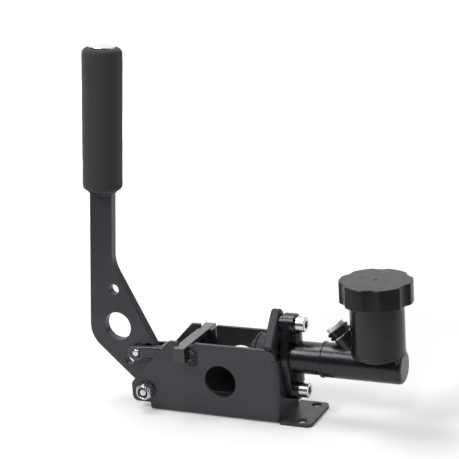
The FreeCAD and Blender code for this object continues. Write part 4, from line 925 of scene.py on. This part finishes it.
class BRAKE_OT_pivot(bpy.types.Operator):
    """Make the lever's pivot bolt, lock nut and washers"""

    bl_idname = "brake.pivot"
    bl_label = "Pivot Hardware"

    def execute(self, context):
        lever = sizes(context.scene.brake_lever)
        face = sizes(context.scene.brake_box).half_width
        near, far = pivot_place(lever, -1), pivot_place(lever, 1)
        out = face + 1.5  # outer face of a washer
        # The washers take the black fitting finish, which also paints the nut's shade as a dark
        # ring round it.
        washer = [(face, 4.05, 0.1), (out, 4.05, 0.3), (out, 8, 0.5), (face, 8, 0.2)]
        new_piece("pivot_washer_pair", [turned_round(at, washer, True) for at in (near, far)],
                  "pivot_washers", "fitting_black")
        end = out + 7
        # Rows of nut, lining and bolt: along, radius, flats
        nut = [(out, M8, 0), (out, 6.9, FLATS), (out + 0.5, CORNERS, FLATS),
               (end - 1.9, CORNERS, FLATS), (end - 1.4, 6.7, FLATS), (end - 1.3, 6.1),
               (end - 0.7, 6.05), (end - 0.25, 5.8), (end, 5.35), (end, 5.0), (end - 0.2, 4.75),
               (end - 2.2, 4.7), (end - 2.2, M8)]
        new_piece("pivot_lock_nut", [turned(near, nut, closed=True)], "pivot_nut")
        lining = [(end - 2.3, 4.68), (end - 1.2, 4.68), (end - 1.2, 3.4), (end - 2.3, 3.4)]
        ring = mesh_of("nut_lining", [turned(near, lining, closed=True)])
        dress(linked("nut_lining", ring), "boot_rubber", "base")
        seat, tip = -out, end - 0.5
        rows = [(seat - 5.3, 0), (seat - 5.3, 6.2), (seat - 5.05, 6.55, FLATS),
                (seat - 4.6, 7.2, FLATS), (seat - 4.2, CORNERS, FLATS),
                (seat - 0.3, CORNERS, FLATS), (seat, 7.2, FLATS), (seat, M8)]
        rows += thread_rows(16, tip - 2)
        rows += [(tip - 1.8, 3.2), (tip - 0.5, 3.0), (tip - 0.1, 2.7), (tip, 2.2), (tip, 0)]
        new_piece("pivot_bolt_shank", [turned(near, rows, shape=thread(0.6, 17, tip - 2.2))],
                  "pivot_bolt")
        return {"FINISHED"}


class BRAKE_OT_lever(bpy.types.Operator):
    """Make the drilled lever plate"""

    bl_idname = "brake.lever"
    bl_label = "Lever Plate"

    def execute(self, context):
        s = sizes(context.scene.brake_lever)
        origin, across, along = lever_axes(s)
        flat = Place(origin, across, along, np.cross(across, along))
        heel, breast = radians(36.6), radians(57.9)
        heel_up = -(s.boss - sin(heel) * s.rear) / cos(heel)
        breast_up = (s.boss + sin(breast) * s.front) / cos(breast)
        round_end = np.linspace(-pi / 2 - heel, pi / 2 - breast, 40)
        tang, tang_top = 8.5, 249.8
        outline = rounded(
            [(-s.handle - tang, tang_top), (-s.handle - tang, s.shoulder), (-s.rear, s.shoulder),
             (-s.rear, heel_up, 24)]
            + [(s.boss * cos(a), s.boss * sin(a)) for a in round_end]
            + [(-s.front, breast_up, 30), (-s.front, s.shoulder), (-s.handle + tang, s.shoulder),
               (-s.handle + tang, tang_top)], step=3)
        bush_hole, lightening = circle(0, 0, 6.05), circle(-38.7, 43.3, 12.5, 96)
        upper_hole, pin_reach = circle(-42.7, 76.1, 4.75), 30.5
        pin_holes = [circle(pin_reach * cos(a), pin_reach * sin(a), 4.05)
                     for a in map(radians, (106.5, 129.5, 152.5))]
        plate = slab(flat, outline, [bush_hole, lightening, upper_hole, *pin_holes],
                     -s.gauge / 2, s.gauge / 2, s.ease)
        new_piece("drilled_lever", plate, "lever_plate")
        return {"FINISHED"}


class BRAKE_OT_grip(bpy.types.Operator):
    """Make the collar, the foam sleeve and the domed end plug"""

    bl_idname = "brake.grip"
    bl_label = "Grip"

    def execute(self, context):
        s = sizes(context.scene.brake_lever)
        at = handle_place(s)
        low, radius, lip = s.shoulder, s.collar_radius, s.collar_radius + 0.5
        collar = rounded([(low, 0), (low, lip, 0.3), (low + 0.9, lip, 0.7), (low + 1.1, radius),
                          (s.grip_bottom, radius), (s.grip_bottom, 0)], False)
        new_piece("collar_ring", [turned(at, collar)], "grip_collar", "collar_paint")
        foam = new_piece("foam_sleeve", [self.foam(at, s)], "grip_foam")
        new_piece("domed_plug", [turned(at, self.plug(s.plug_top, s.plug_radius))], "end_plug")
        return {"FINISHED"}

    @staticmethod
    def plug(top, rim):
        """Stem, rim and a dome that falls 0.45 mm by the square of its share of the radius."""
        stem, edge = 9.4, rim - 1.2
        body = rounded([(top - 14, 0), (top - 14, stem, 0.5), (top - 3.4, stem), (top - 3.4, rim),
                        (top - 0.55, rim, 0.6), (top - 0.45, edge)], False)
        dome = [(top - 0.45 * part ** 2, edge * part) for part in np.linspace(1, 0, 14)]
        return [*body[:-1], *dome]

    @staticmethod
    def foam(at, s):
        """The sleeve, its radius changed by slow waves of up to 0.12 mm along and round it."""
        low, high, outer, inner = s.grip_bottom, s.grip_top, s.grip_radius, s.grip_bore
        rows = rounded([(low, inner), (low, outer, s.grip_round), (high, outer, s.grip_round),
                        (high, inner)], step=6)
        outside = [(along, outer) for along in np.linspace(low + 5, high - 5, 70)]
        split = int(np.argmax(np.diff(rows[:, 0])))
        rows = [*rows[:split + 1], *outside, *rows[split + 1:]]

        def shape(along, angle, radius):
            wave = (np.sin(0.19 * along + 2 * angle) + np.sin(0.083 * along - 3 * angle + 1)
                    + 0.6 * np.sin(0.37 * along + 5 * angle))
            return radius + 0.045 * wave * (radius > inner + 2)
        return turned(at, rows, 128, True, shape)


class BRAKE_OT_linkage(bpy.types.Operator):
    """Make the clevis, its pin, the pushrod and the jam nut"""

    bl_idname = "brake.linkage"
    bl_label = "Clevis and Pushrod"

    def execute(self, context):
        at = rod_place()
        cross = place(at.origin, (0, 1, 0), at.z)
        inner, outer, tip, fork_end, half = 4.5, 8.5, -5, 32, 6.5
        side = rounded([(tip, -half, 4.6), (fork_end, -half, 0.5), (fork_end, half, 0.5),
                        (tip, half, 4.6)], step=10)
        # The bridge between the arms lies just inside their outline
        bridge = rounded([(24.5, -6.4), (31.8, -6.4), (31.8, 6.4), (24.5, 6.4)])
        fork = slab(cross, bridge, [], -inner, inner, 0.01)
        for way in (-1, 1):
            arm = place(at.origin, (0, way, 0), at.z)
            fork += slab(arm, side, [circle(0, 0, 4)], inner, outer, 0.3, 2.6)
        new_piece("fork", fork, "clevis")
        pin = [(-8.5, 0), (-8.5, 2.3), (-8.35, 2.7), (-7.2, 3.9), (-7, 4), (8.8, 4), (8.8, 5.7),
               (9.1, 6), (11.3, 6), (11.8, 5.5), (11.8, 0)]
        new_piece("fork_pin", [turned(cross, pin)], "clevis_pin")
        nut_end = fork_end + 5
        nut = [(fork_end, M8), (fork_end, 6.7, FLATS), (fork_end + 0.5, CORNERS, FLATS),
               (nut_end - 0.5, CORNERS, FLATS), (nut_end, 6.7, FLATS), (nut_end, M8)]
        new_piece("jam_nut_hex", [turned(at, nut, closed=True)], "jam_nut")
        rod_end = 152.66
        rows = [(26, 0), (26, 3.4)] + thread_rows(26.6, 62)
        rows += list(rounded([(62.5, M8), (rod_end, M8, 3), (rod_end, 0)], False))
        new_piece("threaded_pushrod", [turned(at, rows, shape=thread(0.55, 26.8, 61.8))],
                  "pushrod")
        return {"FINISHED"}


class BRAKE_OT_mount_plate(bpy.types.Operator):
    """Make the plate inside the front wall, the flange bolts and their spacer ring"""

    bl_idname = "brake.mount_plate"
    bl_label = "Mount Plate and Bolts"

    def execute(self, context):
        s = sizes(context.scene.brake_cylinder)
        flat = place((0, 0, 0), (1, 0, 0), (0, 1, 0))
        rear, front, ear_top = 27, 35, (0, 94, 4.5)
        # One side of the outline, from the foot up to where the ear leaves the box
        half = [(17.4, 3, 0.3), (20.4, 6, 0.3), (20.4, 64.3, 0.3), (23.5, 64.3, 0.4),
                (23.5, 67, 0.6)]
        mirrored = [(-y, z, r) for y, z, r in half[::-1]]
        holes = [circle(0, s.axis_height, 12.7, 72)]
        holes += [circle(0, s.axis_height + side * s.bolt_half, 4.2) for side in (-1, 1)]
        plate = slab(flat, rounded([*half, ear_top, *mirrored], step=5), holes, rear, front, 1.5)
        new_piece("ear_plate", plate, "mount_plate", "ear_paint")
        under = s.lobe_gauge
        rows = [(-12, 0), (-12, 3.3), (-11.4, M8)] + thread_rows(-11, 2)
        rows += [(under, M8), (under, 5.9), (under + 0.3, 6.3), (under + 7.2, 6.3),
                 (under + 7.6, 6.15), (under + 8, 5.5), (under + 8, 3.7),
                 (under + 7.75, 9, 6.2), (under + 4, 9, 6.0), (under + 3.2, 0)]
        bolts = [turned(bolt_place(s, side), rows, shape=thread(0.55, -10.9, 1.9))
                 for side in (-1, 1)]
        new_piece("socket_bolts", bolts, "flange_bolts")
        ring = [(-3, 4.2, 0.3), (0, 4.2, 0.3), (0, 7.5, 0.5), (-3, 7.5, 0.5)]
        new_piece("spacer_ring", [turned_round(bolt_place(s, 1), ring, True)], "flange_spacer",
                  "fitting_black")
        return {"FINISHED"}


class BRAKE_OT_cylinder(bpy.types.Operator):
    """Make the master cylinder's casting with its flange, barrel and reservoir"""

    bl_idname = "brake.cylinder"
    bl_label = "Master Cylinder"

    def execute(self, context):
        s = sizes(context.scene.brake_cylinder)
        at, bore, bore_end, spigot, spigot_end = cylinder_place(s), 9.6, 84, 12.5, -15
        band, band_end, bore_top = 32, 34, s.axis_height + bore
        barrel = rounded([(bore_end, 0), (bore_end, bore), (spigot_end, bore, 0.4),
                          (spigot_end, spigot, 0.6), (0, spigot), (0, s.neck_radius),
                          (band, s.neck_radius, 0.3), (band, s.band_radius, 0.5),
                          (band_end, s.band_radius, 0.5), (band_end, s.barrel_radius, 0.2),
                          (s.barrel_end, s.barrel_radius, s.barrel_round), (s.barrel_end, 0)],
                         False)
        # The tank's floor and the outlet's boss stop above the bore
        tank, tank_faces = turned(reservoir_place(s), self.tank(s), 144)
        over_bore = np.abs(tank[:, 1]) < 7
        tank[over_bore, 2] = np.maximum(tank[over_bore, 2], bore_top)
        bolts = [(0, side * s.bolt_half, s.lobe_radius) for side in (1, -1)]
        flange = hull_of_discs([(0, 0, s.flange_middle), *bolts])
        blocks = [turned(at, barrel, 144), (tank, tank_faces),
                  *slab(at, flange, [circle(0, 0, 11)], 0, s.flange_gauge, 0.7)]
        lobe = [(5.9, 0), (5.9, s.lobe_radius), (s.lobe_gauge, s.lobe_radius, 1.0),
                (s.lobe_gauge, 0)]
        blocks += [turned_round(bolt_place(s, side), lobe) for side in (-1, 1)]
        for low, high in ((-22, -11), (11, 22)):
            rib = rounded([(-3, low, 0.8), (3, low, 0.8), (3, high, 0.8), (-3, high, 0.8)],
                          step=20)
            blocks += slab(at, rib, [], 1, 13.5, 0.8)
        steps = np.arange(0, s.port_height - 2, 1.0)
        boss = [(0, 0), *zip(steps, 7.6 + 0.4 * steps / s.port_height),
                (s.port_height, 8, 0.5), (s.port_height, 0)]
        port, port_faces = turned_round(port_place(s), boss)
        port[:, 2] = np.maximum(port[:, 2], bore_top)
        new_piece("cylinder_casting", [*blocks, (port, port_faces)], "cylinder_body")
        return {"FINISHED"}

    @staticmethod
    def tank(s):
        """Profile of the reservoir: its floor, its wall and a lip round its foot."""
        outer, wall, low = s.reservoir_radius, s.reservoir_radius - 3, s.reservoir_bottom
        tank_floor = 16.5
        return rounded([(tank_floor, 0), (tank_floor, wall, 1.5), (s.reservoir_top, wall, 0.5),
                        (s.reservoir_top, outer, 0.5), (low + 3.4, outer, 0.3),
                        (low + 3.4, outer + s.lip, 0.3), (low + 1.6, outer + s.lip, 0.5),
                        (low, outer - 1.4, 0.8), (low, 0)], False)


class BRAKE_OT_port(bpy.types.Operator):
    """Make the outlet's sealing washer, adapter and blanking plug"""

    bl_idname = "brake.port"
    bl_label = "Outlet Fitting"

    def execute(self, context):
        s = sizes(context.scene.brake_cylinder)
        at, flats = port_place(s), 17
        low = s.port_height
        washer = [(low, 4.25, 0.1), (low + 1, 4.25, 0.1), (low + 1, 8, 0.3), (low, 8, 0.3)]
        new_piece("sealing_ring", [turned_round(at, washer, True)], "port_washer")
        low += 1
        adapter = [(low, 0), (low, 8.2, flats), (low + 0.5, 9.5, flats), (low + 2.7, 9.5, flats),
                   (low + 3.0, 8.3, 15.8), (low + 3.5, 8.3, 15.8), (low + 3.8, 9.5, flats),
                   (low + 6.0, 9.5, flats), (low + 6.5, 8.3, flats), (low + 6.5, 0)]
        new_piece("hex_adapter", [turned(at, adapter)], "port_adapter")
        low += 6.5
        plug = [(low, 0), (low, 7.3, 0.2), (low + 0.4, 7.75, 0.3), (low + 4, 7.75, 0.9),
                (low + 4, 2.4, 0.3), (low + 3.2, 1.9, 0.3), (low + 3.2, 0)]
        new_piece("blanking_plug", [turned_round(at, plug)], "port_plug", "bright_plug")
        return {"FINISHED"}


class BRAKE_OT_cap(bpy.types.Operator):
    """Make the reservoir cap with its valleys and vent hole"""

    bl_idname = "brake.cap"
    bl_label = "Reservoir Cap"

    def execute(self, context):
        s = sizes(context.scene.brake_cylinder)
        sides = 720
        angle = np.linspace(0, TURN, sides, endpoint=False)
        low, high, vent, mouth = s.cap_bottom, s.cap_top, 1, 22.3
        # Along, 1 on the rim or 0 about the axis, and what the radius adds to that
        rows = np.array([
            (low, 0, mouth), (low, 1, -0.5), (low + 0.15, 1, -0.15), (low + 0.5, 1, 0),
            (high - 0.6, 1, 0), (high - 0.5, 1, -0.03), (high - 0.1, 1, -0.42), (high, 1, -0.6),
            (high, 0, 24), (high, 0, 12), (high, 0, vent + 0.3), (high - 0.2, 0, vent + 0.05),
            (high - 0.5, 0, vent), (high - 4, 0, vent), (high - 4, 0, mouth)])
        radius = rows[:, 1:2] * self.rim(s, angle) + rows[:, 2:3]
        along = np.repeat(rows[:, :1], sides, 1)
        points = np.stack([radius * np.cos(angle), radius * np.sin(angle), along], -1)
        block = put(reservoir_place(s), points.reshape(-1, 3)), grid_faces(len(rows), sides, True)
        new_piece("lobed_cap", [block], "reservoir_cap", "cap_black")
        return {"FINISHED"}

    @staticmethod
    def rim(s, angle):
        """Radius of the cap's side at each angle.

        A valley is a circle outside the cap: at angle d off its middle, the way out to it is
        D cos(d) - sqrt(r^2 - D^2 sin^2(d)). The side is a soft minimum of that and the cap's
        radius: -k log(exp(-a / k) + exp(-b / k)).
        """
        away = s.cap_radius - s.valley_depth + s.valley_radius
        each = TURN / s.valley_count
        off = np.mod(angle - s.valley_start + each / 2, each) - each / 2
        inside = np.clip(s.valley_radius ** 2 - (away * np.sin(off)) ** 2, 0, None)
        valley = np.where(inside > 0, away * np.cos(off) - np.sqrt(inside), 99)
        soft = 0.22
        low = np.minimum(valley, s.cap_radius)
        both = np.exp((low - valley) / soft) + np.exp((low - s.cap_radius) / soft)
        return low - soft * np.log(both)


class BRAKE_OT_boot(bpy.types.Operator):
    """Make the rubber dust boot behind the mount plate"""

    bl_idname = "brake.boot"
    bl_label = "Dust Boot"

    def execute(self, context):
        at = cylinder_place(sizes(context.scene.brake_cylinder))
        outer, between, spigot, rod_hole = 17.8, 16.8, 12.55, 7
        corners = [(-11, spigot), (-11, outer, 0.8), (-14, outer, 0.6), (-14.5, between, 0.4),
                   (-21.9, between, 0.4), (-22.4, outer, 0.6), (-24.2, outer, 0.8), (-25, 13, 1),
                   (-30, 10.5, 2), (-30, rod_hole, 0.6), (-28, rod_hole, 0.4), (-28, 10, 1),
                   (-15.05, spigot, 0.5)]
        new_piece("rubber_boot", [turned_round(at, corners, True)], "dust_boot", "boot_edges")
        return {"FINISHED"}


class BRAKE_OT_inner_parts(bpy.types.Operator):
    """Wind the return spring, and give the parts that stay as they are their finishes"""

    bl_idname = "brake.inner_parts"
    bl_label = "Inner Parts"

    def execute(self, context):
        for part in frame["record"]["subparts"]:
            paint(frame["nodes"][part["node"]].data, part["material_slot"])
        low, high = np.array(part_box("return_spring")) / MM
        at = cylinder_place(sizes(context.scene.brake_cylinder))
        radius, wire, turns = 6.9, 0.8, 7
        start, end = low[0] - at.origin[0] + wire, high[0] - at.origin[0] - wire
        spring = new_piece("coil_spring", [coil(at, start, end, radius, wire, turns)],
                           "return_spring")
        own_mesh(spring)
        return {"FINISHED"}


# Name, place, aim and width of each lamp
LAMPS = (
    ("key", (-0.75, -0.95, 1.35), (-0.02, 0, 0.1), 0.7),
    ("fill", (0.35, -1.3, 1.25), (0.02, 0, 0.1), 0.3),
    ("top", (-0.5, 0.1, 1.6), (0, 0, 0.1), 0.8),
    ("side", (1.15, -0.3, 0.65), (0, 0, 0.1), 0.14),
)


class BRAKE_OT_stage(bpy.types.Operator):
    """Make the floor, the lamps, the pale surroundings and the camera"""

    bl_idname = "brake.stage"
    bl_label = "Studio"

    def execute(self, context):
        s = context.scene.brake_stage
        self.floor(s)
        self.surroundings(s)
        for name, spot, aim, width in LAMPS:
            self.lamp(f"{name}_lamp", spot, aim, getattr(s, f"{name}_power"), width)
        self.camera(s)
        context.scene.view_settings.view_transform = "Standard"
        return {"FINISHED"}

    @staticmethod
    def floor(s):
        """A flat sheet at height 0, white to the camera but for the shadows on it."""
        half = s.floor_size / 2
        mesh = bpy.data.meshes.new("studio_floor")
        mesh.from_pydata([(-half, -half, 0), (half, -half, 0), (half, half, 0), (-half, half, 0)],
                         [], [(0, 1, 2, 3)])
        material = bpy.data.materials.new("floor_paper")
        mesh.materials.append(material)
        tree = empty_tree(material)
        spot = add(tree, "TexCoord").outputs["Object"]
        rays = add(tree, "LightPath").outputs
        away = add(tree, "VectorMath", {0: spot}, operation="LENGTH").outputs["Value"]
        back = add(tree, "SeparateXYZ", {"Vector": spot}).outputs["Y"]
        paper = two_colours(tree, clouds(tree, noise(tree, spot, 40, 3)), shaded(s.floor, 0.995),
                            s.floor)
        matt = add(tree, "BsdfDiffuse", {"Color": paper}).outputs["BSDF"]
        # Reflections see the floor dark away from the object, but not behind it
        pale = maths(tree, "MAXIMUM", spread(tree, away, 0.22, 0.6, 1, 0),
                     spread(tree, back, 0, 0.4, 0, 1))
        dim = maths(tree, "MULTIPLY", rays["Is Glossy Ray"], spread(tree, pale, 0, 1, 0.85, 0))
        unlit = add(tree, "Emission", {"Strength": 0.0}).outputs["Emission"]
        matt = add(tree, "MixShader", {"Fac": dim, 1: matt, 2: unlit}).outputs["Shader"]
        # A glow fades the floor to white for the camera, and brightens its reflections behind
        seen = maths(tree, "MAXIMUM", rays["Is Camera Ray"], rays["Is Transmission Ray"])
        seen_glow = maths(tree, "MULTIPLY", seen, spread(tree, away, 0.25, 1.1, s.glow, 1))
        far_glow = maths(tree, "MULTIPLY", rays["Is Glossy Ray"],
                         spread(tree, back, 0, 0.4, 0, 0.4))
        glow = add(tree, "Emission", {"Color": (1, 1, 1, 1),
                                      "Strength": maths(tree, "ADD", seen_glow, far_glow)})
        both = add(tree, "AddShader", {0: matt, 1: glow.outputs["Emission"]}).outputs["Shader"]
        add(tree, "OutputMaterial", {"Surface": both})
        linked("studio_floor", mesh)

    @staticmethod
    def surroundings(s):
        """White where the camera looks past the floor; for light, pale behind and dim in front."""
        world = bpy.data.worlds.new("studio_surroundings")
        bpy.context.scene.world = world
        tree = empty_tree(world)
        rays = add(tree, "LightPath").outputs
        way = add(tree, "TexCoord").outputs["Generated"]
        ways = add(tree, "SeparateXYZ", {"Vector": way}).outputs
        behind = spread(tree, ways["Y"], -0.1, 0.5, s.dark, s.sky)
        # Stronger in reflections than as light, and weak low on the right
        glossy = spread(tree, rays["Is Glossy Ray"], 0, 1, 0.6, 1.1)
        low_right = maths(tree, "MULTIPLY", spread(tree, ways["X"], 0.15, 0.4, 0, 0.85),
                          spread(tree, ways["Z"], 0.45, 0.25, 0, 1))
        strength = maths(tree, "MULTIPLY", maths(tree, "MULTIPLY", behind, glossy),
                         spread(tree, low_right, 0, 1, 1, 0))
        pale, white = (add(tree, "Background", {"Color": (1, 1, 1, 1), "Strength": value})
                       for value in (strength, 1.0))
        seen = maths(tree, "MAXIMUM", rays["Is Camera Ray"], rays["Is Transmission Ray"])
        both = add(tree, "MixShader", {"Fac": seen, 1: pale.outputs[0], 2: white.outputs[0]})
        add(tree, "OutputWorld", {"Surface": both.outputs[0]})

    @staticmethod
    def lamp(name, spot, aim, power, width):
        data = bpy.data.lights.new(name, "AREA")
        data.shape = "DISK"
        data.size = width
        data.energy = power
        back = np.array(spot, float) - np.array(aim, float)
        linked(name, data).matrix_world = look(spot, back, (0, 0, 1))

    @staticmethod
    def camera(s):
        """The photograph's place and direction, with its slight roll."""
        data = bpy.data.cameras.new("studio_camera")
        data.lens = s.lens
        data.sensor_width = 36
        data.clip_end = 50
        spot = (0.44746, -0.96909, 0.45916)
        yaw, pitch, roll = radians(25.08), radians(15.77), radians(-3.99)
        back = np.array((sin(yaw) * cos(pitch), -cos(yaw) * cos(pitch), sin(pitch)))
        level = np.array((cos(yaw), sin(yaw), 0))
        up = -level * sin(roll) + np.cross(back, level) * cos(roll)
        camera = linked("studio_camera", data)
        camera.matrix_world = look(spot, back, up)
        bpy.context.scene.camera = camera


def look(spot, back, up):
    """A matrix at a spot whose z axis points along back and whose y axis is near up."""
    z = np.array(back, float)
    z /= np.linalg.norm(z)
    x = np.cross(up, z)
    x /= np.linalg.norm(x)
    rows = np.column_stack([x, np.cross(z, x), z, spot])
    return Matrix([*map(list, rows), [0, 0, 0, 1]])


OPERATORS = (
    BRAKE_OT_inner_parts, BRAKE_OT_base_box, BRAKE_OT_pivot, BRAKE_OT_lever, BRAKE_OT_grip,
    BRAKE_OT_linkage, BRAKE_OT_mount_plate, BRAKE_OT_cylinder, BRAKE_OT_port, BRAKE_OT_cap,
    BRAKE_OT_boot, BRAKE_OT_stage,
)


class BRAKE_PT_panel(bpy.types.Panel):
    """Pieces and settings of the parking brake lever"""

    bl_idname = "BRAKE_PT_panel"
    bl_label = "Parking Brake Lever"
    bl_space_type = "VIEW_3D"
    bl_region_type = "UI"
    bl_category = "Brake Lever"

    def draw(self, context):
        for operator in OPERATORS:
            self.layout.operator(operator.bl_idname)
        for name, group in SETTINGS.items():
            box = self.layout.box()
            for key in group.__annotations__:
                box.prop(getattr(context.scene, name), key)


def register():
    for made in (*SETTINGS.values(), *OPERATORS, BRAKE_PT_panel):
        bpy.utils.register_class(made)
    for name, group in SETTINGS.items():
        setattr(bpy.types.Scene, name, bpy.props.PointerProperty(type=group))


def unregister():
    for name in SETTINGS:
        delattr(bpy.types.Scene, name)
    for made in (BRAKE_PT_panel, *reversed(OPERATORS), *reversed(SETTINGS.values())):
        bpy.utils.unregister_class(made)


def main():
    """Register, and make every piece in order."""
    register()
    for operator in OPERATORS:
        group, name = operator.bl_idname.split(".")
        getattr(getattr(bpy.ops, group), name)()


if __name__ == "__main__":
    main()
